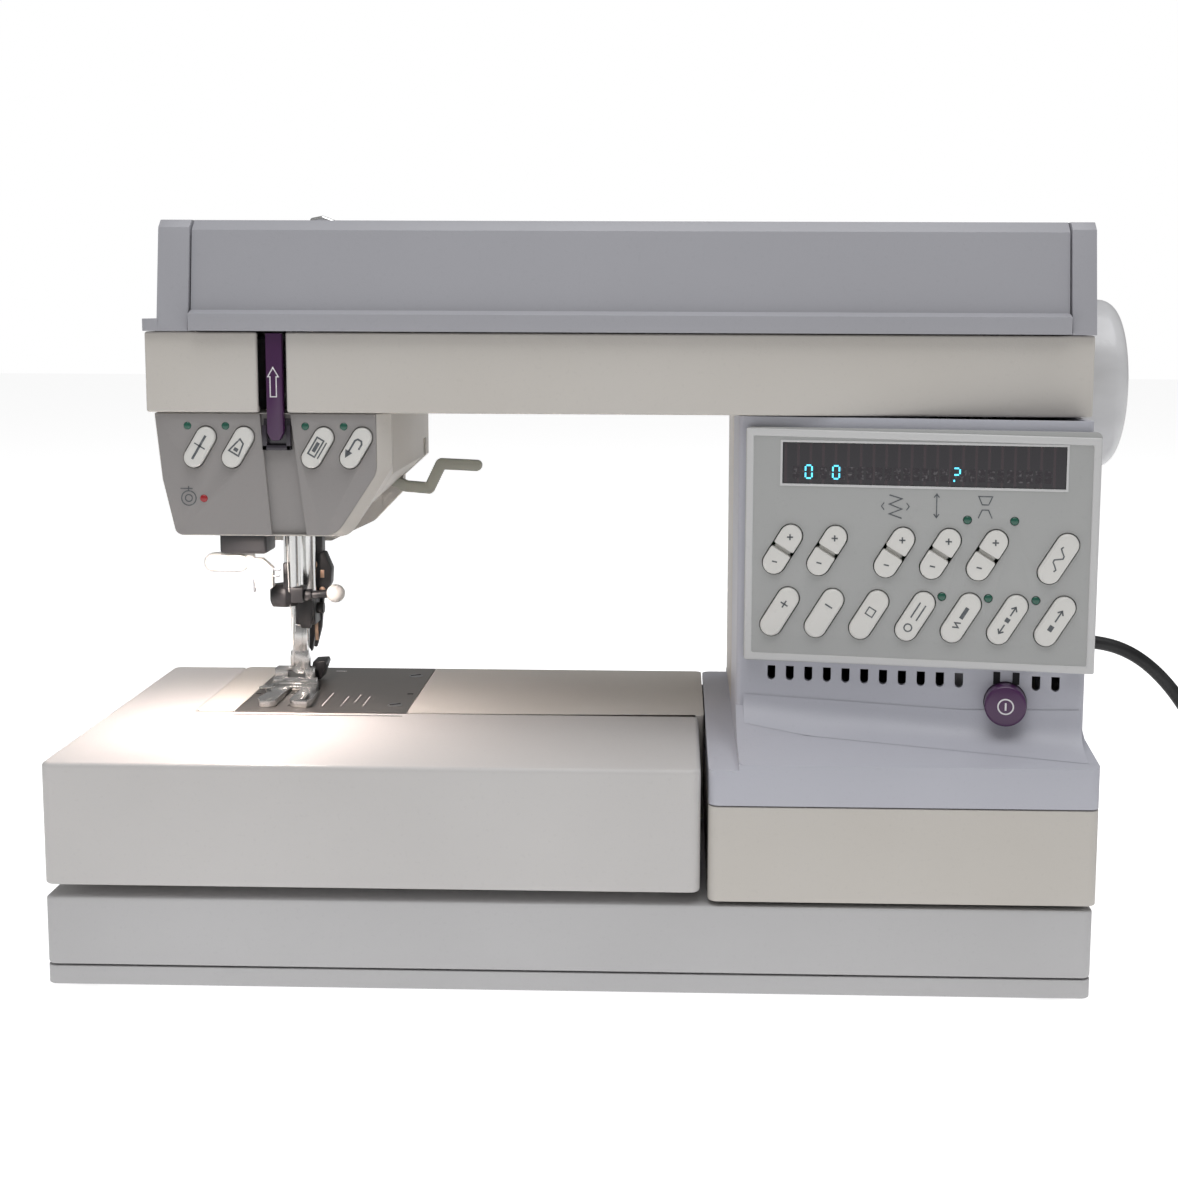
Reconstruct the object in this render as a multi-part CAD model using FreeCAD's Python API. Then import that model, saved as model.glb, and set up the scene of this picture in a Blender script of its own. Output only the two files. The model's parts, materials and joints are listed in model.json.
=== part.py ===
"""Free-arm household sewing machine, built as separate solids, one STEP file for each piece.

Frame: X to the right, Y to the back, Z up. The pieces are drawn from the middle of the base, on the table, and
stored from the middle of the whole machine, which the handwheel puts further to the right.
All sizes are in millimetres.
"""
import FreeCAD
import Part

import math
import os

V = FreeCAD.Vector
X, Y, Z = V(1, 0, 0), V(0, 1, 0), V(0, 0, 1)
ORIGIN = V(0, 0, 0)

# ---------------------------------------------------------------- driving sizes
base_w = 402.0            # base, left to right
base_d = 178.0            # base, front to back
foot_h = 2.0              # rubber feet under the pan
pan_top = 9.8             # seam between the pan and the plinth
plinth_top = 36.5
bed_z = 89.7              # sewing surface
arm_bottom = 221.5        # underside of the arm
arm_seam = 253.0          # seam between the arm and the lid
lid_top = 296.5
wall = 2.6                # moulded casing walls
gap = 0.6                 # seam between neighbouring casings
slide_gap = 0.8           # room round a piece that slides off
run = 0.05                # radial clearance of a shaft in its bush
corner_r = 4.0            # rounded vertical corners of the casings

needle_x, needle_y = -130.0, 33.0
shaft_y, shaft_z = needle_y, 231.0     # upper shaft, along X
presser_gap = 17.0                     # presser bar behind the needle bar
hook_z = 64.5                          # hook shaft, along X
hook_r = 17.0

wheel_x0, wheel_w, wheel_r = 204.0, 26.0, 36.4

arm_left = -167.0
arm_right = 202.5
arm_front = -52.0
arm_rear = 80.0

column_left = 66.0
panel_turn = 9.0          # the control panel faces the needle by this many degrees
panel_x, panel_y = 68.0, -50.0         # left end of the panel's front plane
panel_w = 134.5
panel_z0, panel_z1 = 124.5, 217.0
panel_depth = 3.9         # the panel's moulding stands this far in front of the column

free_arm_left = -165.0
free_arm_front = -2.0
free_arm_bottom = 44.0
housing_left = 54.6       # left end of the column's foot
seam_z = 75.5             # seam across the column's foot

half_w, half_d = base_w / 2, base_d / 2
middle_x = (wheel_x0 + wheel_w - half_w) / 2      # the whole machine's middle, from the base's middle
tray_bottom = plinth_top + 5.1
presser_y = needle_y + presser_gap
rear_y = half_d

casting_x0, casting_x1 = 88.0, 150.0      # casting's column, on the base pan
casting_y0, casting_y1 = 24.0, 74.0
plate_x0, plate_x1, plate_t = -148.0, -74.0, 3.0
feed_rows = [-138.0, -134.0, -126.0, -122.0]
feed_y0, feed_y1 = 12.0, 41.0
plate_screws = [(-81.0, 12.0), (-81.0, 72.0)]
foot_top_z = 91.7         # front edge of the column's foot
slope_top = 105.0
column_right = 200.0
column_front = -46.0
split_y = 12.0            # seam between the front and the rear covers
vent_count, vent_pitch, vent_z = 16, 7.35, 119.7
power_s, power_z, power_r = 102.8, 111.0, 8.0

head_front = -50.0
face_seam_y = -21.0       # seam between the grey face and the rear cover
head_keys = [-146.6, -131.5, -99.9, -84.7]
head_key_z, head_key_l, head_key_w = 207.7, 17.5, 7.8
key_tilt = 31.0           # the keys lean to the right
key_l, key_w, key_out = 21.2, 8.6, 1.8
low_keys = [14.7, 32.2, 49.6, 67.4, 84.9, 102.5, 120.3]
low_key_z = 144.4
rocker_s = [15.5, 32.9, 58.9, 76.5, 94.2]
rocker_z, rocker_pivot = 169.2, 2.0     # height, and the pivot's depth behind the panel's front
display_key_s, display_key_z = 120.8, 168.6
panel_leds = [(86.4, 182.6), (104.1, 182.6), (77.5, 152.5), (95.1, 152.4), (113.0, 152.2)]
led_r = 1.6
lid_left, lid_right = -148.6, 192.6
lid_pivot_y, lid_pivot_z = 75.0, 259.0
knuckle_l = 8.0
lever_y = 68.0
head_skirt_y = 72.0       # the head's back hangs lower behind the needle

shaft_r, low_shaft_r, hook_shaft_r = 6.0, 5.0, 4.0
crank_r, disc_r = 15.0, 20.0
pulley_r, big_pulley_r, motor_pulley_r = 15.0, 19.0, 9.0
gear_module, gear_teeth = 0.8, 36       # lower shaft's gear; the hook's pinion has half as many teeth
centre_distance = gear_module * gear_teeth * 0.75
gear_line = 0.0                         # both gears lie side by side along Y
low_shaft_y, low_shaft_z = shaft_y + centre_distance, hook_z
motor_y, motor_z, motor_r = -12.0, 100.0, 22.0
beam_y0, beam_y1, beam_z0, beam_z1 = 46.0, 70.0, 226.0, 249.0
bar_r, presser_r = 3.6, 4.0
presser_x = -127.0
clamp_z0, clamp_z1 = 131.0, 141.0
foot_pin_z = 97.5
take_up_x, take_up_y, take_up_z, take_up_l, take_up_rise = -118.6, -8.0, 238.0, 34.0, 65.0
lever_x, lever_z = -104.0, 190.0
dual_y, dual_z = 60.0, 166.0
threader_x, threader_y = -146.0, 21.0
rear_screws = [(-150.0, 237.0), (-60.0, 237.0), (30.0, 237.0), (120.0, 237.0), (190.0, 237.0), (80.0, 120.0),
               (186.0, 120.0)]

nodes = {}


# ---------------------------------------------------------------- helpers
def box(x0, x1, y0, y1, z0, z1):
    return Part.makeBox(x1 - x0, y1 - y0, z1 - z0, V(x0, y0, z0))


def rod(p, axis, r, length):
    return Part.makeCylinder(r, length, p, axis)


def tube(p, axis, r_out, r_in, length):
    return rod(p, axis, r_out, length).cut(rod(p, axis, r_in, length))


def prism(points, push):
    """Flat outline through the points, pushed along a vector."""
    wire = Part.makePolygon(points + [points[0]])
    return Part.Face(wire).extrude(push)


def outline_xy(pts, z0, z1):
    return prism([V(x, y, z0) for x, y in pts], V(0, 0, z1 - z0))


def outline_yz(pts, x0, x1):
    return prism([V(x0, y, z) for y, z in pts], V(x1 - x0, 0, 0))


def outline_xz(pts, y0, y1):
    return prism([V(x, y0, z) for x, z in pts], V(0, y1 - y0, 0))


def edges_along(shape, direction, test=None):
    """Straight edges that run along a direction, and pass the test on their middle point."""
    found = []
    for e in shape.Edges:
        a, b = e.Vertexes[0].Point, e.Vertexes[-1].Point
        if (b - a).Length < 1e-6 or e.Curve.TypeId != "Part::GeomLine":
            continue
        along = (b - a).normalize()
        if abs(abs(along.dot(direction)) - 1) < 1e-6 and (test is None or test((a + b) * 0.5)):
            found.append(e)
    return found


def rounded(shape, r, direction, test=None):
    return shape.makeFillet(r, edges_along(shape, direction, test))


def rounded_box(x0, x1, y0, y1, z0, z1, r=corner_r, top_r=0.0, bottom_r=0.0):
    b = rounded(box(x0, x1, y0, y1, z0, z1), r, Z)
    if top_r:
        b = b.makeFillet(top_r, [e for e in b.Edges if all(abs(v.Point.z - z1) < 1e-6 for v in e.Vertexes)])
    if bottom_r:
        b = b.makeFillet(bottom_r, [e for e in b.Edges if all(abs(v.Point.z - z0) < 1e-6 for v in e.Vertexes)])
    return b


def stadium(length, width, height):
    """Upright pill: its long axis on Z, thickness on Y, centred on the origin in X and Z, from y = 0 back."""
    half = (length - width) / 2
    core = box(-width / 2, width / 2, 0, height, -half, half)
    ends = [rod(V(0, 0, s * half), Y, width / 2, height) for s in (-1, 1)]
    return core.fuse(ends).removeSplitter()


def fuse(*shapes):
    return shapes[0].fuse(list(shapes[1:])).removeSplitter()


def column_face(x, depth):
    """Y of a plane parallel to the control panel's front, a depth behind it."""
    turn = math.radians(panel_turn)
    return panel_y - (x - panel_x) * math.tan(turn) + depth / math.cos(turn)


def on_panel(shape):
    """From panel axes (s to the right, depth to the back, z up) to the object's frame."""
    moved = shape.copy()
    moved.rotate(ORIGIN, Z, -panel_turn)
    moved.translate(V(panel_x, panel_y, 0))
    return moved


def keep(name, *shapes):
    """Stores one node: one solid, or a group of separate solids."""
    solids = [s for shape in shapes for s in shape.Solids]
    for s in solids:
        assert s.isValid(), name
    whole = solids[0].copy() if len(solids) == 1 else Part.makeCompound(solids)
    whole.translate(V(-middle_x, 0, 0))
    nodes[name] = whole


# ---------------------------------------------------------------- base and lower casings
def base():
    pan = rounded_box(-half_w, half_w, -half_d, half_d, foot_h, pan_top - gap)
    pan = pan.cut(rounded_box(-half_w + wall, half_w - wall, -half_d + wall, half_d - wall, foot_h + wall, pan_top))
    plinth = rounded_box(-half_w, half_w, -half_d, half_d, pan_top, plinth_top)
    plinth = plinth.cut(rounded_box(-half_w + wall, half_w - wall, -half_d + wall, half_d - wall,
                                    pan_top - 1, plinth_top - wall))
    feet, feet_holes = [], []
    for sx in (-1, 1):
        for sy in (-1, 1):
            p = V(sx * (half_w - 14), sy * (half_d - 16), 0)
            feet.append(rod(p, Z, 9, foot_h).fuse(rod(p, Z, 4, foot_h + wall + 2)).removeSplitter())
            feet_holes.append(rod(p, Z, 4 + run, foot_h + wall + 1))
    pan = pan.cut(Part.makeCompound(feet_holes))
    well = box(casting_x0 - 3, casting_x1 + 3, casting_y0 - 3, casting_y1 + 3, pan_top, plinth_top + 1)
    keep("base_pan", pan)
    keep("base_plinth", plinth.cut(well))
    keep("rubber_feet", *feet)


def free_arm():
    """Long hollow arm that cloth slips over; its left end holds the hook."""
    outer = rounded_box(free_arm_left, housing_left - gap, free_arm_front, rear_y, free_arm_bottom, bed_z, 3.0)
    inner = box(free_arm_left + wall, housing_left, free_arm_front + wall, rear_y - wall,
                free_arm_bottom + wall, bed_z - wall)
    plate_hole = box(plate_x0 - gap / 2, plate_x1 + gap / 2, free_arm_front - 1, rear_y + 1,
                     bed_z - plate_t - gap / 2, bed_z + 1)
    plate_under = box(plate_x0 + 5, plate_x1 - 5, free_arm_front + wall, rear_y - wall, bed_z - 8, bed_z)
    bobbin_mouth = box(free_arm_left - 1, free_arm_left + wall + 1, shaft_y - hook_r - 1, shaft_y + hook_r + 1,
                       hook_z - hook_r, hook_z + hook_r)
    keep("free_arm_shell", outer.cut(inner).cut(plate_hole).cut(plate_under).cut(bobbin_mouth))

    plate = box(plate_x0, plate_x1, free_arm_front, rear_y, bed_z - plate_t, bed_z)
    cuts = [rod(V(needle_x, needle_y, bed_z - 5), Z, 1.8, 10)]
    for x in feed_rows:
        cuts.append(box(x - 1.6, x + 1.6, feed_y0 - 4, feed_y1 + 4, bed_z - 5, bed_z + 1))
    for x, y in plate_screws:
        cuts.append(rod(V(x, y, bed_z - plate_t - 1), Z, 2.2, plate_t + 2))
    keep("needle_plate", plate.cut(Part.makeCompound(cuts)))


def accessory_tray():
    """L-shaped box round the front and the left of the free arm, open towards the arm. It pulls off to the left."""
    tx0, tx1 = -half_w, housing_left - 3.0
    inside_x, inside_y = free_arm_left - slide_gap, free_arm_front - slide_gap
    body = rounded_box(tx0, tx1, -half_d, half_d, tray_bottom, bed_z, corner_r, 2.0)
    body = body.cut(box(inside_x, tx1 + 1, inside_y, half_d + 1, tray_bottom - 1, bed_z + 1))
    store = [box(tx0 + wall, tx1 - wall, -half_d + wall, inside_y - wall, tray_bottom + wall, bed_z - wall),
             box(tx0 + wall, inside_x - wall, inside_y - wall - 1, half_d - wall, tray_bottom + wall, bed_z - wall),
             box(inside_x + 8, tx1 - 8, inside_y - wall - 1, inside_y + 1, tray_bottom + wall, bed_z - 8)]
    runners = [box(tx0 + 12, tx1 - 12, y, y + 4, plinth_top + 0.4, tray_bottom) for y in (-70.0, -24.0)]
    body = body.cut(Part.makeCompound(store)).fuse(runners).removeSplitter()
    keep("accessory_tray", body)


def column_foot():
    """Lower white housing and the grey housing that rises from it to the control panel."""
    x0, x1 = housing_left, half_w + 1.0
    low = rounded_box(x0, x1, -half_d, half_d, plinth_top + 2, seam_z)
    low = low.cut(box(x0 + wall, x1 - wall, -half_d + wall, half_d - wall, plinth_top, seam_z + 1))
    arm_hole = box(x0 - 1, x0 + wall + 1, free_arm_front + wall, half_d - wall, free_arm_bottom + wall, seam_z + 1)
    low = low.cut(arm_hole).cut(cord_socket(0.3))
    keep("lower_housing", low)

    foot = rounded_box(x0, x1, -half_d, half_d, seam_z + gap, foot_top_z)
    foot = foot.cut(box(x0 - 1, column_left, -half_d - 1, half_d + 1, bed_z, foot_top_z + 1))
    slope = outline_yz([(-half_d - 1, foot_top_z), (-half_d, foot_top_z), (-60.0, foot_top_z + 4.5),
                        (column_front, slope_top), (column_front + 60, slope_top), (half_d, foot_top_z - 8),
                        (-half_d - 1, foot_top_z - 8)], column_left, x1)
    slope = slope.common(rounded_box(column_left, x1, -half_d, half_d, foot_top_z - 9, slope_top + 5))
    shaft_top = arm_bottom - gap
    right = column_right
    front = outline_xy([(column_left, column_face(column_left, panel_depth + 0.1)),
                        (right, column_face(right, panel_depth + 0.1)), (right, split_y), (column_left, split_y)],
                       seam_z + 4, shaft_top)
    front = rounded(front, 2.5, Z, lambda m: m.y < split_y - 5)
    rear = box(column_left, column_right, split_y - 1, arm_rear, seam_z + 4, foot_top_z + 6)
    outer = foot.fuse([slope, front, rear]).removeSplitter()
    t = wall
    inner = box(x0 + t, x1 - t, -half_d + t, half_d - t, seam_z - 1, bed_z - t)
    hollow = outline_yz([(-half_d + t, seam_z), (-half_d + t, foot_top_z - t), (-58.0, foot_top_z + 2.5),
                         (column_front + 5, slope_top - t), (column_front + 5, slope_top + 1),
                         (half_d - t, slope_top + 1), (half_d - t, seam_z)], column_left + t, column_right - t)
    column = outline_xy([(column_left + t, column_face(column_left + t, panel_depth + t)),
                         (right - t, column_face(right - t, panel_depth + t)), (right - t, split_y + 1),
                         (column_left + t, split_y + 1)], seam_z, arm_bottom + 1)
    rear_open = box(column_left + t, column_right - t, split_y, arm_rear + 1, bed_z - 8, arm_bottom)
    hollow = hollow.common(outer)
    shell = outer.cut(Part.makeCompound([inner, column])).cut(hollow).cut(rear_open)
    shell = shell.cut(box(x0 - 1, x1 + 2, split_y, rear_y + 2, foot_top_z, arm_bottom + 1))
    shell = shell.cut(box(x0 - 1, x0 + t + 1, free_arm_front + t, half_d - t, seam_z, bed_z - t))
    window = on_panel(box(4.6, panel_w - 3, -2, 14, panel_z0 + 4, panel_z1 - 3.6))
    vents = []
    for i in range(vent_count):
        slot = box(-1.6, 1.6, -8, 14, -2.1, 2.1).fuse(rod(V(0, -8, -2.1), Y, 1.6, 22))
        slot.translate(V(11.4 + i * vent_pitch, 0, vent_z))
        if abs(11.4 + i * vent_pitch - power_s) > power_r + 3:
            vents.append(on_panel(slot))
    button = on_panel(rod(V(power_s, -20, power_z), Y, power_r + 0.3, 40))
    keep("column_housing", shell.cut(window).cut(Part.makeCompound(vents)).cut(button))


# ---------------------------------------------------------------- arm, head and lid
def upper_outer(inset=0.0):
    """Arm, upper column and head as one block, grown inwards by an inset."""
    i = inset
    arm = box(arm_left + i, arm_right - i, arm_front + i, arm_rear - i, arm_bottom + i, arm_seam + (1 if i else 0))
    head = outline_xz([(-164.5 + i, arm_bottom + 4), (-162.0 + i, 195), (-157.0 + i, 173.0 + i),
                       (-99.0, 173.0 + i), (-75.0 - i, 195.0 + i * 0.5), (-75.0 - i, arm_bottom + 4)],
                      head_front + i, arm_rear - i)
    skirt = outline_xz([(-157.0 + i, 175.0 + i), (-152.0 + i, 154.0 + i), (-120.0, 154.0 + i), (-100.0, 163.5 + i),
                        (-86.0 - i * 0.5, 178.0 + i), (-86.0 - i * 0.5, 190)], head_skirt_y + i, arm_rear - i)
    return arm.fuse([head, skirt]).removeSplitter()


def casings():
    """Front cover, face cover and rear cover share one outline and meet at seams."""
    outer = upper_outer()
    shell = outer.cut(upper_outer(wall))
    big = 400
    shell = shell.cut(box(column_left + wall, column_right - wall, -40, arm_rear - wall, 200, arm_bottom + 5))
    bars = box(-150, -100, 18, 66, 160, 180)
    lever_slot = box(-96, -70, lever_y - 4.2, lever_y + 4.2, 170, 203)
    guide_slot = box(-122.8, -111.5, arm_front - 1, arm_front + wall + 4, 205, arm_seam + 1)
    shaft_hole = rod(V(190, shaft_y, shaft_z), X, 8.0, 20)
    shell = shell.cut(Part.makeCompound([bars, guide_slot, shaft_hole])).cut(lever_slot)
    head_zone = box(-big, -70, -big, face_seam_y, 0, arm_bottom - gap / 2)
    arm_zone = box(-big, big, -big, split_y, arm_bottom, big)
    face = shell.common(head_zone)
    front = shell.common(arm_zone)
    rear = shell.cut(box(-big, big, -big, split_y + gap, arm_bottom - gap / 2, big))
    rear = rear.cut(box(-big, big, -big, face_seam_y + gap, 0, arm_bottom))
    column_back = box(column_left, column_right, split_y + gap, arm_rear, foot_top_z + gap, arm_bottom + 1)
    column_back = column_back.cut(box(column_left + wall, column_right - wall, split_y - 1, arm_rear - wall,
                                      foot_top_z, arm_bottom + 5))
    rear = rear.fuse(column_back).removeSplitter().cut(cord_socket(0.3))
    keys = []
    for x in head_keys:
        pill = key_pill(head_key_l, head_key_w, 40, 0.4)
        pill.translate(V(x, head_front - 20, head_key_z))
        keys.append(pill)
    for x in head_keys:
        keys.append(rod(V(x - 4.8, head_front - 2, head_key_z + 8.4), Y, led_r + 0.1, 10))
    keys.append(rod(V(-145.6, head_front - 2, 187.3), Y, led_r + 0.1, 10))
    face = face.cut(Part.makeCompound(keys))
    keep("face_cover", face)
    keep("arm_front_cover", front)
    keep("rear_cover", rear)


def lid():
    left, right = lid_left, lid_right
    profile = [(arm_front - 3.5, arm_seam + 0.4), (arm_front - 3.5, arm_seam + 7), (arm_front + 1, arm_seam + 8.5),
               (arm_front + 5.5, lid_top - 4), (arm_front + 10, lid_top), (arm_rear - 4, lid_top),
               (arm_rear + 0.4, lid_top - 4.4), (arm_rear + 0.4, lid_pivot_z)]
    inner = [(arm_front - 0.9, arm_seam), (arm_front - 0.9, arm_seam + 5.4), (arm_front + 3.6, arm_seam + 6.4),
             (arm_front + 8.1, lid_top - 5.2), (arm_front + 11, lid_top - wall), (arm_rear - 5, lid_top - wall),
             (arm_rear - 2.2, lid_top - 5.4), (arm_rear - 2.2, arm_seam)]
    block = outline_yz(profile + [(lid_pivot_y, arm_seam + 0.4)], left, right)
    barrel = rod(V(left, lid_pivot_y, lid_pivot_z), X, 5.4, right - left)
    hollow = outline_yz(inner, left + wall, right - wall)
    knuckles = [rod(V(x, lid_pivot_y, lid_pivot_z), X, 5.4, knuckle_l) for x in (left, right - knuckle_l)]
    keep_clear = outline_yz([(lid_pivot_y, lid_pivot_z), (lid_pivot_y, arm_seam - 1), (arm_rear + 5, arm_seam - 1),
                             (arm_rear + 5, lid_pivot_z)], left - 1, right + 1).cut(barrel)
    shell = block.cut(hollow).cut(keep_clear).fuse(knuckles).removeSplitter()
    bores = [rod(V(left - 1, lid_pivot_y, lid_pivot_z), X, 2.5 + run, knuckle_l + 2),
             rod(V(right - knuckle_l - 1, lid_pivot_y, lid_pivot_z), X, 2.5 + run, knuckle_l + 2)]
    keep("lid", shell.cut(Part.makeCompound(bores)))

    caps = []
    for a, b, pin_a, pin_b in ((arm_left + 5.5, left - gap, left - gap, left + knuckle_l - 1),
                               (right + gap, arm_right, right - knuckle_l + 1, right + gap)):
        cap = outline_yz([(arm_front - 2, arm_seam + 0.2), (arm_front + 4.5, lid_top - 3), (arm_front + 8, lid_top),
                          (arm_rear - 4, lid_top), (arm_rear, lid_top - 4), (arm_rear, arm_seam + 0.2)], a, b)
        room = outline_yz([(arm_front + 3, arm_seam), (arm_front + 9, lid_top - 5), (arm_rear - 6, lid_top - 5),
                           (arm_rear - 3, arm_seam)], a + wall, b - wall)
        pin = rod(V(pin_a, lid_pivot_y, lid_pivot_z), X, 2.5, pin_b - pin_a)
        caps.append(cap.cut(room).fuse(pin).removeSplitter())
    flange = box(arm_left, arm_left + 6, arm_front - 2, arm_rear, arm_seam + 0.2, arm_seam + 5)
    caps[0] = caps[0].fuse(flange).removeSplitter()
    keep("lid_end_caps", *caps)


def inside_lid():
    """Tray over the arm with the spool pins, and the guides for the thread."""
    plate = box(-106, lid_right - 6, arm_front + 8, 66, arm_seam + 0.2, arm_seam + 2.2)
    pins = []
    for x in (20.0, 110.0):
        pins.append(rod(V(x, 20, arm_seam + 1), Z, 3, 33).fuse(rod(V(x, 20, arm_seam + 1), Z, 11, 4)))
    rim = box(-106, lid_right - 6, 64, 66, arm_seam + 1, arm_seam + 7)
    keep("top_tray", fuse(plate, rim, *pins))
    drop = box(-119.4, -112.8, arm_front - 1.2, arm_front + 3.4, 211, arm_seam - 0.2)
    holder = box(-120.4, -111.8, arm_front + 0.6, arm_front + 6, 206.4, 212)
    keep("take_up_guide", fuse(drop, holder))


# ---------------------------------------------------------------- control panel and keys
def key_pill(length, width, depth, grow=0.0):
    pill = stadium(length + 2 * grow, width + 2 * grow, depth)
    pill.rotate(ORIGIN, Y, key_tilt)
    return pill


def panel():
    p = box(0.6, panel_w + 1, 0, panel_depth, panel_z0, panel_z1)
    p = rounded(p, 2.0, Y)
    p = p.cut(box(3.6, panel_w - 1.6, wall, 12, panel_z0 + 3, panel_z1 - 2.6))
    p = p.cut(box(15, 122.8, -1, 4, 195.2, 211.4))
    for s in rocker_s:
        p = p.cut(placed(key_pill(key_l, key_w, 30, 0.5), s, -10, rocker_z))
    for s in low_keys + [display_key_s]:
        p = p.cut(placed(key_pill(key_l, key_w, 30, 0.4), s, -10, key_z(s)))
    leds, holes = [], []
    for s, z in panel_leds:
        leds.append(on_panel(rod(V(s, -0.3, z), Y, led_r, 6)))
        holes.append(rod(V(s, -2, z), Y, led_r + 0.1, 12))
    keep("panel_bezel", on_panel(p.cut(Part.makeCompound(holes))))
    keep("display_window", on_panel(box(15.2, 122.6, 0.4, 2.4, 195.4, 211.2)))
    for x in head_keys:
        leds.append(rod(V(x - 4.8, head_front - 0.3, head_key_z + 8.4), Y, led_r, 6))
    leds.append(rod(V(-145.6, head_front - 0.3, 187.3), Y, led_r, 6))
    keep("indicator_leds", *leds)
    board = box(9, panel_w - 10, 20.5, 22.1, panel_z0 + 4, panel_z1 - 3)
    tube_box = box(17, 121, 12, 21, 196, 211)
    keep("control_board", on_panel(board.fuse(tube_box).removeSplitter()))


def placed(shape, s, depth, z):
    moved = shape.copy()
    moved.translate(V(s, depth, z))
    return moved


def key_z(s):
    return display_key_z if s == display_key_s else low_key_z


def panel_keys():
    for i, s in enumerate(low_keys):
        keep("oval_key_%d" % (i + 1), on_panel(placed(key_pill(key_l, key_w, 6 + key_out), s, -key_out, low_key_z)))
    keep("display_key", on_panel(placed(key_pill(key_l, key_w, 6 + key_out), display_key_s, -key_out, display_key_z)))
    for i, s in enumerate(rocker_s):
        rocker = key_pill(key_l, key_w, 5 + key_out)
        groove = box(-8, 8, -1, 1.2, -0.5, 0.5)
        groove.rotate(ORIGIN, Y, key_tilt)
        pivot = rod(V(-key_w / 2 - 0.3, key_out + rocker_pivot, 0), X, 1.5, key_w + 0.6)
        pivot.rotate(ORIGIN, Y, key_tilt)
        rocker = rocker.cut(groove).fuse(pivot).removeSplitter()
        keep("rocker_key_%d" % (i + 1), on_panel(placed(rocker, s, -key_out, rocker_z)))
    for i, x in enumerate(head_keys):
        keep("head_key_%d" % (i + 1), placed(key_pill(head_key_l, head_key_w, 5 + key_out), x, head_front - key_out,
                                              head_key_z))
    button = rod(V(power_s, -4, power_z), Y, power_r, 12)
    keep("power_button", on_panel(button))


# ---------------------------------------------------------------- frame and drive
def gear(p, teeth, module, width, phase=0.0):
    """Spur gear on an X axis, straight flanks, thinned for backlash."""
    r = teeth * module / 2
    half_pitch_angle = math.pi / teeth / 2
    points = []
    for i in range(teeth):
        mid = phase + 2 * math.pi * i / teeth
        for dr, thick in ((-1.2, 1.45), (0, 0.9), (0.95, 0.42)):
            points.append((r + dr * module, mid - half_pitch_angle * thick))
        for dr, thick in ((0.95, 0.42), (0, 0.9), (-1.2, 1.45)):
            points.append((r + dr * module, mid + half_pitch_angle * thick))
    return prism([V(p.x, p.y + d * math.cos(a), p.z + d * math.sin(a)) for d, a in points], V(width, 0, 0))


def belt(a, ra, b, rb, x0, x1, t):
    """Loop over two pulleys, centres and radii given in YZ."""
    def around(r_a, r_b):
        d = math.hypot(b[0] - a[0], b[1] - a[1])
        turn = math.atan2(b[1] - a[1], b[0] - a[0])
        lean = math.acos((r_a - r_b) / d)
        def on(c, r, angle):
            return V(x0, c[0] + r * math.cos(turn + angle), c[1] + r * math.sin(turn + angle))
        p = [on(a, r_a, lean), on(a, r_a, math.pi), on(a, r_a, -lean),
             on(b, r_b, -lean), on(b, r_b, 0), on(b, r_b, lean)]
        edges = [Part.Arc(p[0], p[1], p[2]).toShape(), Part.LineSegment(p[2], p[3]).toShape(),
                 Part.Arc(p[3], p[4], p[5]).toShape(), Part.LineSegment(p[5], p[0]).toShape()]
        return Part.Face(Part.Wire(edges)).extrude(V(x1 - x0, 0, 0))
    return around(ra + t, rb + t).cut(around(ra, rb))


def casting():
    t = wall
    leg = box(casting_x0, casting_x1, casting_y0, casting_y1, foot_h + t, beam_z1)
    beam = box(-150, casting_x1, beam_y0, beam_y1, beam_z0, beam_z1)
    bed = box(-158, casting_x1, 71, rear_y - t - 1, free_arm_bottom + t, 84)
    bed_boss = box(-82, -72, 20, 72, 50, 78)
    front_boss = box(-102, -94, -16, beam_y0 + 1, 222 + t + 0.4, 246)
    mid_boss = box(20, 30, 22, beam_y0 + 1, 222 + t + 0.4, 246)
    web = box(-150, -98, 58.5, 63, 178, beam_z0 + 1)
    low_boss = box(-152, -114, 17, 59, 178, 184)
    top_boss = box(-140, -125, 26, beam_y0 + 1, 243, beam_z1)
    hanger = box(-112, -108, 55, 61.5, 161, 184)
    pivot = rod(V(-121.5, dual_y, dual_z), X, 2.0, 10)
    take_up_pin = rod(V(-119.5, take_up_y, take_up_z), X, 3.0, 18)
    lever_pin = rod(V(lever_x, 61, lever_z), Y, 3.0, lever_y + 3.5 - 61)
    solid = fuse(leg, beam, bed, bed_boss, front_boss, mid_boss, web, low_boss, top_boss, hanger, pivot,
                 take_up_pin, lever_pin)
    bores = [rod(V(-120.5, shaft_y, shaft_z), X, disc_r + 1, 120.5 - 102.5),
             rod(V(-110, shaft_y, shaft_z), X, shaft_r + run, 300),
             rod(V(-90, low_shaft_y, low_shaft_z), X, low_shaft_r + run, 260),
             rod(V(-90, shaft_y, hook_z), X, hook_shaft_r + run, 40),
             rod(V(needle_x, needle_y, 170), Z, bar_r + run, 100),
             rod(V(presser_x, presser_y, 170), Z, presser_r + run, 100),
             rod(V(threader_x, threader_y, 170), Z, 2.5 + run, 20)]
    keep("frame_casting", solid.cut(Part.makeCompound(bores)))


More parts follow.
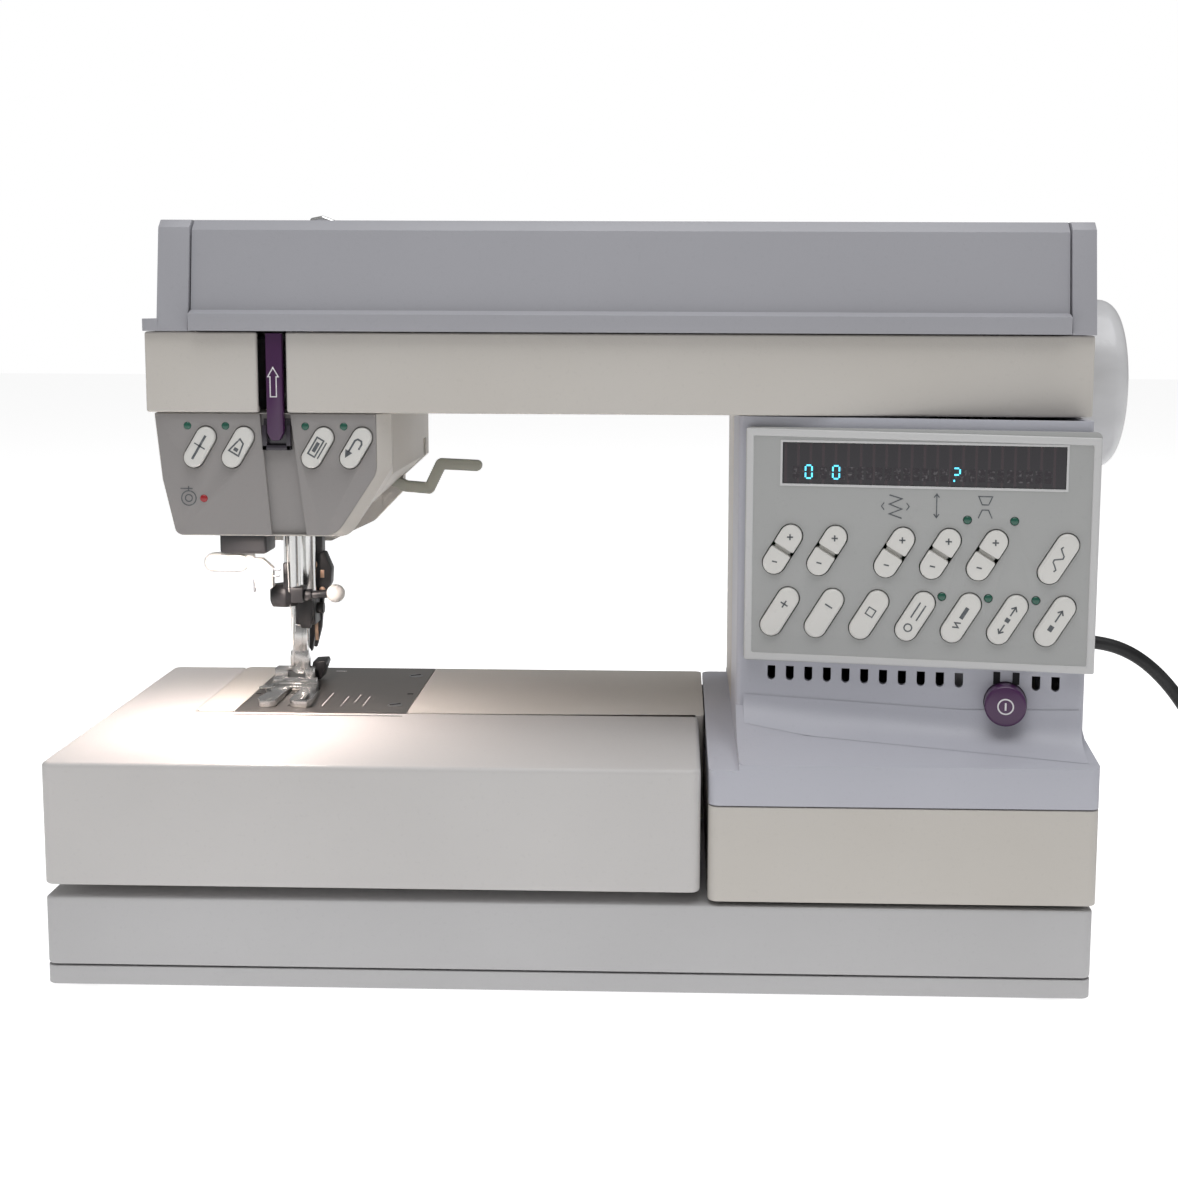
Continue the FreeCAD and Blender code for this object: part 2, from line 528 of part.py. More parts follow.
def drive():
    up = rod(V(-104, shaft_y, shaft_z), X, shaft_r, 306)
    disc = rod(V(-112, shaft_y, shaft_z), X, disc_r, 8)
    pin = rod(V(-118.4, shaft_y, shaft_z + crank_r), X, 3, 7)
    pulleys = [rod(V(156, shaft_y, shaft_z), X, pulley_r, 12), rod(V(172, shaft_y, shaft_z), X, big_pulley_r, 10)]
    keep("upper_shaft", fuse(up, disc, pin, *pulleys))

    wheel = rod(V(wheel_x0, shaft_y, shaft_z), X, wheel_r, wheel_w)
    wheel = wheel.makeFillet(7.0, [e for e in wheel.Edges if e.BoundBox.XMin > wheel_x0 + wheel_w - 0.1])
    wheel = wheel.makeFillet(2.5, [e for e in wheel.Edges if e.BoundBox.XMax < wheel_x0 + 0.1])
    keep("handwheel", wheel.cut(rod(V(wheel_x0 - 1, shaft_y, shaft_z), X, shaft_r, 12)))

    low = rod(V(-98, low_shaft_y, low_shaft_z), X, low_shaft_r, 270)
    big = gear(V(-95, low_shaft_y, low_shaft_z), gear_teeth, gear_module, 10, gear_line + math.pi)
    keep("lower_shaft", fuse(low, big, rod(V(156, low_shaft_y, low_shaft_z), X, pulley_r, 12)))

    cup = tube(V(-156, shaft_y, hook_z), X, hook_r, hook_r - 2, 19).fuse(rod(V(-137, shaft_y, hook_z), X, hook_r, 3))
    stem = rod(V(-134, shaft_y, hook_z), X, hook_shaft_r, 62)
    pinion = gear(V(-95, shaft_y, hook_z), gear_teeth // 2, gear_module, 10, gear_line + math.pi / (gear_teeth // 2))
    keep("rotary_hook", fuse(cup, stem, pinion))
    case = rod(V(-157, shaft_y, hook_z), X, hook_r - 2.4, 19).cut(tube(V(-158, shaft_y, hook_z), X, 10.5, 3, 14))
    keep("bobbin_case", case)

    centre_a, centre_b = (shaft_y, shaft_z), (low_shaft_y, low_shaft_z)
    timing = belt(centre_b, pulley_r + 0.3, centre_a, pulley_r + 0.3, 157.5, 166.5, 1.6)
    drive_belt = belt((motor_y, motor_z), motor_pulley_r + 0.3, centre_a, big_pulley_r + 0.3, 173.5, 180.5, 2.0)
    keep("drive_belts", timing, drive_belt)
    can = rod(V(80, motor_y, motor_z), X, motor_r, 68)
    foot = box(92, 136, motor_y, casting_y0, motor_z - 10, motor_z + 10)
    spindle = rod(V(148, motor_y, motor_z), X, 4, 34).fuse(rod(V(172, motor_y, motor_z), X, motor_pulley_r, 10))
    keep("drive_motor", fuse(can, foot, spindle))


# ---------------------------------------------------------------- head: needle, foot, levers
def needle_parts():
    bar = rod(V(needle_x, needle_y, clamp_z1), Z, bar_r, 284 - clamp_z1)
    drive_block = box(-136, -124, needle_y - 6, needle_y + 6, 215, 223)
    stud = rod(V(-125, needle_y, 219), X, 2.5, 6)
    link = box(-123.5, -119.2, needle_y - 4, needle_y + 4, 216, shaft_z + crank_r + 4)
    keep("needle_bar", fuse(bar, drive_block, stud, link,
                            clamp_block().cut(rod(V(needle_x, needle_y, clamp_z0 - 1), Z, 1.05, 9))))
    shank = rod(V(needle_x, needle_y, clamp_z0 - 13), Z, 1.05, 21)
    blade = rod(V(needle_x, needle_y, clamp_z0 - 27), Z, 0.6, 14)
    tip = Part.makeCone(0.15, 0.6, 2.5, V(needle_x, needle_y, clamp_z0 - 29.5), Z)
    keep("needle", fuse(shank, blade, tip))
    screw = rod(V(-123.95, needle_y, clamp_z0 + 5.4), X, 1.5, 10)
    keep("needle_screw", fuse(screw, Part.makeSphere(3.7, V(-111, needle_y, clamp_z0 + 5.4))))


def clamp_block():
    return fuse(rod(V(needle_x, needle_y, clamp_z0), Z, 6, clamp_z1 - clamp_z0),
                box(-139.5, needle_x, needle_y - 4, needle_y + 4, clamp_z0, clamp_z1))


def presser_parts():
    bar = rod(V(presser_x, presser_y, 122), Z, presser_r, 140)
    collar = rod(V(presser_x, presser_y, 197), Z, 8, 8)
    holder = box(presser_x - 2, presser_x + 2, presser_y - 4, presser_y + 4, foot_pin_z - 3, 123)
    pin = rod(V(presser_x - 5.5, presser_y, foot_pin_z), X, 1.5, 11)
    keep("presser_bar", fuse(bar, collar, holder, pin))
    sole = box(-138, -116, 6, presser_y + 1, bed_z + 0.3, bed_z + 2.6)
    toe_gap = box(needle_x - 2.5, needle_x + 2.5, 4, 38, bed_z, bed_z + 4)
    ears = []
    for x0, x1 in ((-132.4, -129.6), (-124.4, -121.6)):
        ears.append(box(x0, x1, presser_y - 4, presser_y + 1, bed_z + 2, foot_pin_z))
        ears.append(rod(V(x0, presser_y, foot_pin_z), X, 3.4, x1 - x0))
    foot = sole.cut(toe_gap).fuse(ears).removeSplitter()
    keep("presser_foot", foot.cut(rod(V(-134, presser_y, foot_pin_z), X, 1.5 + run, 14)))


def levers():
    hub = rod(V(take_up_x, take_up_y, take_up_z), X, 6, 2.6)
    a = math.radians(take_up_rise)
    reach = V(0, -math.cos(a), math.sin(a))
    side = V(0, math.sin(a), math.cos(a))
    root = V(take_up_x, take_up_y, take_up_z)
    arm = prism([root + side * 4, root - side * 4, root + reach * take_up_l - side * 2.5,
                 root + reach * take_up_l + side * 2.5], X * 2.6)
    eye = rod(root + reach * take_up_l, X, 3.4, 2.6)
    lever = fuse(hub, arm, eye).cut(rod(root + reach * take_up_l - X, X, 1.4, 5))
    keep("take_up_lever", lever.cut(rod(root - X, X, 3.0 + run, 6)))

    path = [(lever_x, lever_z), (-84.0, 180.5), (-73.0, 179.6), (-67.5, 191.0), (-51.0, 190.3)]
    parts = [rod(V(lever_x, lever_y - 2.5, lever_z), Y, 7, 5)]
    for (xa, za), (xb, zb) in zip(path, path[1:]):
        length = math.hypot(xb - xa, zb - za)
        n = V(-(zb - za) / length, 0, (xb - xa) / length) * 2.5
        parts.append(prism([V(xa, lever_y - 2.5, za) + n, V(xb, lever_y - 2.5, zb) + n,
                            V(xb, lever_y - 2.5, zb) - n, V(xa, lever_y - 2.5, za) - n], Y * 5))
        parts.append(rod(V(xb, lever_y - 2.5, zb), Y, 2.5, 5))
    keep("lifter_lever", fuse(*parts).cut(rod(V(lever_x, lever_y - 5, lever_z), Y, 3.0 + run, 10)))

    link = box(-120.5, -114.5, dual_y - 4, dual_y + 4, 112, dual_z)
    knuckle = rod(V(-120.5, dual_y, dual_z), X, 5, 6)
    toe = box(-122, -113, dual_y - 6.4, dual_y + 4, bed_z + 6, 113)
    black = fuse(link, knuckle, toe)
    keep("dual_feed", black.cut(rod(V(-125, dual_y, dual_z), X, 2.0 + run, 20)))

    post = rod(V(threader_x, threader_y, 150), Z, 2.5, 46)
    grip = box(-169, -148, threader_y - 4, threader_y + 4, 147, 154)
    bracket = box(-150, -139, threader_y - 2.5, threader_y + 2.5, 139, 152)
    bush = rod(V(threader_x, threader_y, 155), Z, 5, 6)
    keep("threader_lever", fuse(post, grip, bracket, bush))


def feed():
    bars = [box(x - 1.3, x + 1.3, feed_y0, feed_y1, 83, bed_z - 0.5) for x in feed_rows]
    tie = box(-140, -119, feed_y0, feed_y1, 82, 84).cut(box(needle_x - 1.6, needle_x + 1.6, 27, 39, 80, 86))
    tail = box(-120, -100, 20, 30, 82, 84)
    keep("feed_dog", fuse(tie, tail, *bars))


# ---------------------------------------------------------------- mains lead
cord_r = 3.1
connector_x, connector_y, connector_z = 200.0, 70.0, 110.0
cord_points = [(226, 70, 110), (239, 70, 110), (256, 70, 104), (271, 70, 91), (284, 71, 73), (295, 73, 53),
               (306, 76.5, 33), (320, 81, 16), (338, 84.5, 5.6), (356, 84, 3.4), (371, 78.5, 3.4)]
coil_x, coil_y = 356.0, 40.0
coil_r, coil_half, coil_h = 36.0, 9.4, 18.6


def cord_socket(grow):
    return box(connector_x - 9, connector_x + 2, connector_y - 13 - grow, connector_y + 13 + grow,
               connector_z - 9 - grow, connector_z + 9 + grow)


def cord_path(points):
    """Straight runs joined by the largest arcs that they allow."""
    edges, at, length = [], V(*points[0]), 0.0
    for before, corner, after in zip(points, points[1:], points[2:]):
        a, c, b = V(*before), V(*corner), V(*after)
        back, on = (a - c), (b - c)
        turn = math.pi - back.getAngle(on)
        cut = 0.45 * min(back.Length, on.Length)
        radius = cut / math.tan(turn / 2)
        p, q = c + back.normalize() * cut, c + on.normalize() * cut
        mid_dir = (back + on).normalize()
        middle = c + mid_dir * (radius / math.cos(turn / 2) - radius)
        edges += [Part.LineSegment(at, p).toShape(), Part.Arc(p, middle, q).toShape()]
        print("cord bend radius %.0f mm, turn %.0f degrees" % (radius, math.degrees(turn)))
        at = q
    edges.append(Part.LineSegment(at, V(*points[-1])).toShape())
    length = sum(e.Length for e in edges)
    return Part.Wire(edges), length


def mains_lead():
    wire, length = cord_path(cord_points)
    start = V(*cord_points[0])
    heading = (V(*cord_points[1]) - start).normalize()
    profile = Part.Wire(Part.makeCircle(cord_r, start, heading))
    lead = wire.makePipeShell([profile], True, False)
    print("cord volume ratio %.4f, length %.1f mm" % (lead.Volume / (math.pi * cord_r ** 2 * length), length))
    keep("mains_cord", lead)
    ring = tube(V(coil_x, coil_y, 0), Z, coil_r + coil_half, coil_r - coil_half, coil_h)
    keep("cord_coil", ring)
    body = box(coil_x - 13, coil_x + 13, coil_y - coil_r - 48, coil_y - coil_r - 12, 1.5, 16.5)
    body = body.makeFillet(4.0, edges_along(body, Y))
    relief = Part.makeCone(3.3, 6, 14, V(coil_x, coil_y - coil_r - coil_half + 1, 9), V(0, -1, 0))
    pins = [rod(V(coil_x + s * 9.5, coil_y - coil_r - 48, 9), V(0, -1, 0), 2.4, 19) for s in (-1, 1)]
    keep("mains_plug", fuse(body, relief, *pins))
    shell = box(connector_x - 6, connector_x + 6, connector_y - 12.5, connector_y + 12.5,
                connector_z - 8.5, connector_z + 8.5)
    stem = Part.makeCone(7.5, cord_r + 0.6, 20, V(connector_x + 6, connector_y, connector_z), X)
    keep("cord_connector", fuse(shell, stem))


# ---------------------------------------------------------------- fasteners
def screws():
    """Cross-head screws: the base's underside and the rear cover."""
    places = [(V(x, y, foot_h + wall), V(0, 0, 1)) for x in (-150.0, -50.0, 50.0, 160.0) for y in (-70.0, 70.0)]
    out = []
    for p, up in places:
        out.append(rod(p, up, 3.4, 2.2))
    for x, z in rear_screws:
        out.append(rod(V(x, arm_rear, z), Y, 3.6, 1.8))
    for x, y in plate_screws:
        out.append(rod(V(x, y, bed_z - plate_t), Z, 2.2, plate_t - 0.2))
    keep("cover_screws", *out)


def build():
    base()
    free_arm()
    accessory_tray()
    column_foot()
    casings()
    lid()
    inside_lid()
    panel()
    panel_keys()
    casting()
    drive()
    needle_parts()
    presser_parts()
    levers()
    feed()
    mains_lead()
    screws()
    os.makedirs("parts", exist_ok=True)
    for name, shape in nodes.items():
        shape.exportStep("parts/%s.step" % name)
        print("%-18s %2d solids, %9.0f mm3" % (name, len(shape.Solids), shape.Volume))
    print(len(nodes), "nodes")


build()
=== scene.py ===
import bpy, bmesh, json, math
from mathutils import Matrix, Vector


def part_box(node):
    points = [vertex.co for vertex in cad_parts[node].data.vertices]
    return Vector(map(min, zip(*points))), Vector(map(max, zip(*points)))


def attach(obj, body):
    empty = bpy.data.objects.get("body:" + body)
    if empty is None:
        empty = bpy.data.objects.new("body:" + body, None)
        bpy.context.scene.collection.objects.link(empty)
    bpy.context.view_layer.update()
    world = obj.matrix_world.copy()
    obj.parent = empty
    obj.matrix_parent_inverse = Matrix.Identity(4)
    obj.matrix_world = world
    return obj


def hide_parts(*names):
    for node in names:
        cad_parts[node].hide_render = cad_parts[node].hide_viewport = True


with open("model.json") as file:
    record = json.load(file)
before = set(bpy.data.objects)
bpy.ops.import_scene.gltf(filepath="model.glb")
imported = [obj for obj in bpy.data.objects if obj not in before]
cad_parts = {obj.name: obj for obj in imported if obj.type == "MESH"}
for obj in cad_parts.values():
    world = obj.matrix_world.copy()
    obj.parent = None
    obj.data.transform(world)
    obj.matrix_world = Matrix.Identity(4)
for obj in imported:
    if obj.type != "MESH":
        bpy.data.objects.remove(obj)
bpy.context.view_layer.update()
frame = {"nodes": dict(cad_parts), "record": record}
record = frame["record"]
print("frame loaded")

# sizes are in mm from the middle of the base, and the frame starts at the middle of the machine
baseLow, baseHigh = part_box("base_pan")
drawX = (baseLow.x + baseHigh.x) / 2 * 1000


def mm(x, y, z):
    return Vector((x + drawX, y, z)) / 1000


def show(thing):
    bpy.context.scene.collection.objects.link(thing)
    return thing


# ---- camera and light
cameraSet = {"place": (41.33, -716.0, 262.4), "turn": 1.547, "down": 7.053, "roll": 0.246,
             "lens": 51.1, "shift": (-0.0342, -0.0667)}


def makeCamera():
    data = bpy.data.cameras.new("camera")
    data.sensor_width, data.lens = 36.0, cameraSet["lens"]
    data.shift_x, data.shift_y = cameraSet["shift"]
    data.clip_start, data.clip_end = 0.05, 20
    cam = bpy.data.objects.new("camera", data)
    cam.location = mm(*cameraSet["place"])
    turn, down, roll = (math.radians(cameraSet[k]) for k in ("turn", "down", "roll"))
    upright = Matrix.Rotation(turn, 3, "Z") @ Matrix.Rotation(math.pi / 2 - down, 3, "X")
    cam.rotation_euler = (upright @ Matrix.Rotation(roll, 3, "Z")).to_euler()
    show(cam)
    bpy.context.scene.camera = cam


stageSet = {"reach": 6.0, "level": -0.0005, "colour": 0.93, "roughness": 0.75, "glow": 0.42, "seen": 0.72,
            "room": 0.24, "roomSeen": 1.0}


def seenStrength(tree, socket, room, seen):
    # the camera sees a brighter floor and background than the machine does
    path, strength = tree.nodes.new("ShaderNodeLightPath"), tree.nodes.new("ShaderNodeMapRange")
    strength.inputs["To Min"].default_value, strength.inputs["To Max"].default_value = room, seen
    tree.links.new(path.outputs["Is Camera Ray"], strength.inputs["Value"])
    tree.links.new(strength.outputs[0], socket)


def makeStage():
    mesh = bpy.data.meshes.new("floor")
    reach, level, pale = stageSet["reach"], stageSet["level"], stageSet["colour"]
    corners = [(x * reach, y * reach, level) for x, y in ((-1, -1), (1, -1), (1, 1), (-1, 1))]
    mesh.from_pydata(corners, [], [(0, 1, 2, 3)])
    floor = show(bpy.data.objects.new("floor", mesh))
    mat = bpy.data.materials.new("floorPale")
    mat.use_nodes = True
    shader = mat.node_tree.nodes["Principled BSDF"]
    shader.inputs["Base Color"].default_value = (pale, pale, pale, 1)
    shader.inputs["Roughness"].default_value = stageSet["roughness"]
    shader.inputs["Emission Color"].default_value = (1, 1, 1, 1)
    seenStrength(mat.node_tree, shader.inputs["Emission Strength"], stageSet["glow"], stageSet["seen"])
    mesh.materials.append(mat)


lights = {"key": {"at": (-0.6, -1.0, 1.5), "aim": (0, 0, 0.12), "size": 1.2, "power": 2.2,
                  "tint": (1.0, 0.98, 0.97)},
          "top": {"at": (0.1, -0.3, 1.7), "aim": (0, 0, 0.12), "size": 1.5, "power": 18,
                  "tint": (0.985, 0.99, 1.0)},
          "lamp": {"at": (-0.155, -0.02, 0.166), "aim": (-0.160, -0.035, 0.0), "size": 0.02, "power": 0.2,
                   "tint": (1.0, 0.86, 0.80)}}


def makeLights():
    for name, one in lights.items():
        data = bpy.data.lights.new(name, "AREA")
        data.size, data.energy, data.color = one["size"], one["power"], one["tint"]
        lamp = bpy.data.objects.new(name, data)
        lamp.location = one["at"]
        lamp.rotation_euler = (Vector(one["aim"]) - lamp.location).to_track_quat("-Z", "Y").to_euler()
        show(lamp)
    world = bpy.data.worlds.new("studio")
    world.use_nodes = True
    background = world.node_tree.nodes["Background"]
    background.inputs["Color"].default_value = (1, 1, 1, 1)
    seenStrength(world.node_tree, background.inputs["Strength"], stageSet["room"], stageSet["roomSeen"])
    bpy.context.scene.world = world
    bpy.context.scene.view_settings.view_transform = "Standard"


makeCamera()
makeStage()
makeLights()
print("camera, floor and lights made")


# ---- materials: a socket that takes part in sums, and one method for every other node
class Line:
    def __init__(self, paint, socket):
        self.paint, self.socket = paint, socket

    def sum(self, kind, a, b):
        return self.paint.node("ShaderNodeMath", {"operation": kind}, {0: a, 1: b})

    def __add__(self, other):
        return self.sum("ADD", self, other)

    def __mul__(self, other):
        return self.sum("MULTIPLY", self, other)

    def __gt__(self, other):
        return self.sum("GREATER_THAN", self, other)

    __radd__, __rmul__ = __add__, __mul__


class Paint:
    def __init__(self, name, colour, roughness, metallic=0.0, coat=0.0, specular=0.5):
        self.material = bpy.data.materials.new(name)
        self.material.use_nodes = True
        self.tree = self.material.node_tree
        self.shader = self.tree.nodes["Principled BSDF"]
        self.put("Base Color", (*colour, 1))
        self.put("Roughness", roughness)
        self.put("Metallic", metallic)
        self.put("Coat Weight", coat)
        self.put("Specular IOR Level", specular)
        self.place = self.node("ShaderNodeTexCoord", out="Object")

    def put(self, socket, value):
        self.join(self.shader.inputs[socket], value)

    def join(self, socket, value):
        if isinstance(value, Line):
            self.tree.links.new(value.socket, socket)
        else:
            socket.default_value = value

    def node(self, kind, settings=None, inputs=None, out=0):
        made = self.tree.nodes.new(kind)
        for key, value in (settings or {}).items():
            setattr(made, key, value)
        for key, value in (inputs or {}).items():
            self.join(made.inputs[key], value)
        return Line(self, made.outputs[out])

    def noise(self, scale, detail=2.0, stretch=None):
        at = self.place
        if stretch:
            at = self.node("ShaderNodeMapping", inputs={"Vector": at, "Scale": stretch})
        return self.node("ShaderNodeTexNoise", inputs={"Vector": at, "Scale": scale, "Detail": detail})

    def span(self, value, low, high):
        return self.node("ShaderNodeMapRange", inputs={0: value, 1: low, 2: high})

    def blend(self, share, a, b):
        made = self.tree.nodes.new("ShaderNodeMix")
        made.data_type = "RGBA"
        for socket, value in ((made.inputs[0], share), (made.inputs[6], a), (made.inputs[7], b)):
            self.join(socket, value)
        return Line(self, made.outputs[2])

    def bump(self, height, strength, distance):
        self.put("Normal", self.node("ShaderNodeBump", inputs={"Height": height, "Strength": strength,
                                                               "Distance": distance}))


def tone(colour, k):
    return (*(min(1.0, c * k) for c in colour), 1)


def mouldedPlastic(name, colour, roughness=0.45, grain=0.35, mottle=0.05, warm=0.0):
    p = Paint(name, colour, roughness)
    cloud, fine = p.noise(9.0, 3.0), p.noise(1700.0, 1.0)
    specks = p.noise(620.0, 2.0)
    share = p.span(cloud, 0.3, 0.7)
    aged = tuple(c * k for c, k in zip(colour, (1 - mottle + warm, 1 - mottle, 1 - mottle - 1.5 * warm)))
    base = p.blend(share, tone(colour, 1.0 + mottle * 0.4), tone(aged, 1.0))
    p.put("Base Color", p.blend((specks > 0.66) * 0.10, base, tone(colour, 0.72)))
    p.put("Roughness", roughness - 0.05 + share * 0.08 + fine * 0.06)
    p.bump(fine * 0.7 + specks * 0.5, grain, 0.00012)
    return p.material


def glossPlastic(name, colour, roughness=0.22, coat=0.3):
    p = Paint(name, colour, roughness, coat=coat)
    smear, dust = p.noise(30.0, 3.0, (1.0, 1.0, 2.2)), p.noise(900.0, 1.0)
    p.put("Roughness", roughness - 0.04 + smear * 0.12)
    p.put("Base Color", p.blend(p.span(smear, 0.35, 0.7),
                                tone(colour, 1.05), tone(colour, 0.9)))
    p.bump(dust, 0.10, 0.00005)
    return p.material


def brushedMetal(name, colour, roughness, along, scratch=0.25):
    p = Paint(name, colour, roughness, metallic=1.0)
    stretch = tuple(0.02 if axis == along else 1.0 for axis in "XYZ")
    lines, patches = p.noise(900.0, 3.0, stretch), p.noise(35.0, 2.0)
    p.put("Base Color", p.blend(lines * 0.5 + patches * 0.4, tone(colour, 0.82), tone(colour, 1.12)))
    p.put("Roughness", roughness - 0.08 + lines * 0.14 + patches * 0.06)
    p.bump(lines, scratch, 0.00006)
    return p.material


def castMetal(name, colour):
    p = Paint(name, colour, 0.5, metallic=0.9)
    skin, pits = p.noise(420.0, 4.0), p.noise(60.0, 2.0)
    p.put("Roughness", 0.42 + skin * 0.2)
    p.put("Base Color", p.blend(pits, tone(colour, 0.8), tone(colour, 1.1)))
    p.bump(skin, 0.5, 0.0004)
    return p.material


def softRubber(name, colour, roughness=0.6):
    p = Paint(name, colour, roughness, specular=0.4)
    dust, fine = p.noise(45.0, 3.0), p.noise(1300.0, 2.0)
    p.put("Base Color", p.blend(p.span(dust, 0.45, 0.8),
                                tone(colour, 1.0), tone(tuple(c + 0.02 for c in colour), 1.3)))
    p.put("Roughness", roughness - 0.06 + dust * 0.16)
    p.bump(fine, 0.25, 0.00008)
    return p.material


def tintedWindow(name):
    p = Paint(name, (0.010, 0.008, 0.012), 0.08, coat=0.6)
    cells = p.node("ShaderNodeSeparateXYZ", inputs={0: p.place}, out=0)
    bars = p.node("ShaderNodeMath", {"operation": "PINGPONG"}, {0: cells, 1: 0.0024})
    smear = p.noise(40.0, 3.0)
    p.put("Base Color", p.blend((bars > 0.0019) * 0.8, (0.010, 0.007, 0.012, 1), (0.035, 0.02, 0.026, 1)))
    p.put("Roughness", 0.05 + smear * 0.12)
    return p.material


def glowing(name, colour, strength):
    p = Paint(name, tuple(c * 0.2 for c in colour), 0.4)
    flicker = p.noise(1200.0, 1.0)
    p.put("Emission Color", p.blend(flicker, tone(colour, 0.85), tone(colour, 1.0)))
    p.shader.inputs["Emission Strength"].default_value = strength
    return p.material


def printedInk(name, colour):
    p = Paint(name, colour, 0.5)
    wear = p.noise(700.0, 3.0)
    p.put("Base Color", p.blend(p.span(wear, 0.55, 0.85),
                                tone(colour, 1.0), tone(tuple(c + 0.15 for c in colour), 1.2)))
    return p.material


def laminate(name):
    p = Paint(name, (0.05, 0.22, 0.09), 0.35)
    weave = p.node("ShaderNodeTexVoronoi", {"feature": "DISTANCE_TO_EDGE"},
                   {"Vector": p.place, "Scale": 330.0})
    p.put("Base Color", p.blend(weave > 0.06, (0.12, 0.34, 0.12, 1), (0.03, 0.17, 0.07, 1)))
    p.bump(weave, 0.2, 0.0001)
    return p.material


finishes = {
    "shell_white": mouldedPlastic("shellWhite", (0.60, 0.575, 0.54), 0.42, 0.45, 0.05, 0.012),
    "housing_grey": mouldedPlastic("housingGrey", (0.385, 0.385, 0.415), 0.40, 0.5, 0.04),
    "column_grey": mouldedPlastic("columnGrey", (0.50, 0.505, 0.56), 0.40, 0.5, 0.04),
    "base_grey": mouldedPlastic("baseGrey", (0.545, 0.54, 0.545), 0.42, 0.5, 0.05),
    "tray_grey": mouldedPlastic("trayGrey", (0.60, 0.585, 0.575), 0.42, 0.45, 0.05),
    "panel_grey": mouldedPlastic("panelGrey", (0.405, 0.41, 0.405), 0.42, 0.3, 0.03),
    "face_grey": mouldedPlastic("faceGrey", (0.30, 0.285, 0.28), 0.42, 0.3, 0.03),
    "rim_white": mouldedPlastic("rimWhite", (0.60, 0.60, 0.60), 0.38, 0.3, 0.03),
    "key_white": mouldedPlastic("keyWhite", (0.72, 0.71, 0.68), 0.34, 0.15, 0.04),
    "wheel_white": glossPlastic("wheelWhite", (0.66, 0.66, 0.67), 0.28, 0.2),
    "display": tintedWindow("displayWindow"),
    "led": glossPlastic("ledGreen", (0.012, 0.10, 0.065), 0.15, 0.5),
    "led_red": glossPlastic("ledRed", (0.35, 0.015, 0.02), 0.15, 0.5),
    "purple": glossPlastic("purplePlastic", (0.058, 0.012, 0.068), 0.30, 0.25),
    "plate_steel": brushedMetal("plateSteel", (0.36, 0.345, 0.33), 0.42, "X"),
    "bright_steel": brushedMetal("brightSteel", (0.78, 0.78, 0.77), 0.18, "Z", 0.1),
    "steel": brushedMetal("machinedSteel", (0.50, 0.50, 0.51), 0.32, "X"),
    "lever_grey": glossPlastic("leverPaint", (0.36, 0.365, 0.31), 0.35, 0.1),
    "casting": castMetal("castAluminium", (0.55, 0.56, 0.57)),
    "black_plastic": mouldedPlastic("blackPlastic", (0.018, 0.018, 0.02), 0.40, 0.3, 0.1),
    "rubber": softRubber("rubberBlack", (0.025, 0.025, 0.026)),
    "cord": softRubber("cordSheath", (0.014, 0.014, 0.015), 0.42),
    "board": laminate("boardLaminate"),
    "motor": castMetal("motorPaint", (0.10, 0.10, 0.11)),
    "ink": printedInk("darkInk", (0.10, 0.11, 0.12)),
    "ink_light": printedInk("lightInk", (0.72, 0.70, 0.72)),
    "glow": glowing("displayGlow", (0.10, 0.62, 0.85), 2.2),
    "cells": printedInk("displayCells", (0.030, 0.024, 0.030)),
    "holder_dark": glossPlastic("holderDark", (0.035, 0.028, 0.04)),
    "brass": brushedMetal("springBrass", (0.62, 0.42, 0.30), 0.35, "Z"),
    # painted shade: a near-black finish laid over slots, vent openings and screw slots in place of the shade
    # inside them
    "gap_shade": softRubber("paintedGapShade", (0.01, 0.01, 0.012), 0.8),
}
print("materials made")


# ---- shapes shared by the pieces
def addPiece(name, mesh, slot, body, finish=None, replaced=()):
    piece = show(bpy.data.objects.new(name, mesh))
    mesh.materials.clear()
    mesh.materials.append(finishes[finish or slot])
    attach(piece, body)
    if replaced:
        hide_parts(*replaced)
    return piece


def smoothByAngle(mesh, degrees=35.0):
    bm = bmesh.new()
    bm.from_mesh(mesh)
    for face in bm.faces:
        face.smooth = True
    for edge in bm.edges:
        edge.smooth = not edge.is_manifold or edge.calc_face_angle(0.0) < math.radians(degrees)
    bm.to_mesh(mesh)
    bm.free()


def evaluated(holder):
    bpy.context.view_layer.update()
    return bpy.data.meshes.new_from_object(holder.evaluated_get(bpy.context.evaluated_depsgraph_get()))


def rounded(name, mesh, bevel, segments=2, angle=32.0):
    if bevel:
        holder = show(bpy.data.objects.new(name + ".work", mesh))
        mod = holder.modifiers.new("edge", "BEVEL")
        mod.width, mod.segments, mod.limit_method = bevel / 1000, segments, "ANGLE"
        mod.angle_limit, mod.harden_normals = math.radians(angle), False
        mesh = evaluated(holder)
        bpy.data.objects.remove(holder)
        mesh.name = name
    smoothByAngle(mesh)
    return mesh


def softened(node, bevel, slot, body, finish=None):
    bm = bmesh.new()
    bm.from_mesh(frame["nodes"][node].data)
    bmesh.ops.remove_doubles(bm, verts=bm.verts, dist=2e-6)
    bmesh.ops.dissolve_limit(bm, angle_limit=math.radians(0.6), verts=bm.verts, edges=bm.edges)
    mesh = bpy.data.meshes.new(node + "Soft")
    bm.to_mesh(mesh)
    bm.free()
    mesh = rounded(node + "Soft", mesh, bevel, 3)
    return addPiece(node + "Shell", mesh, slot, body, finish, (node,))


bodyOf = {n: b for b, members in record["behaviour"]["bodies"].items() for n in members}
slotOf = {p["node"]: p["material_slot"] for p in record["subparts"]}
for nodeName, cadObject in frame["nodes"].items():
    cadObject.data.materials.clear()
    cadObject.data.materials.append(finishes[slotOf[nodeName]])

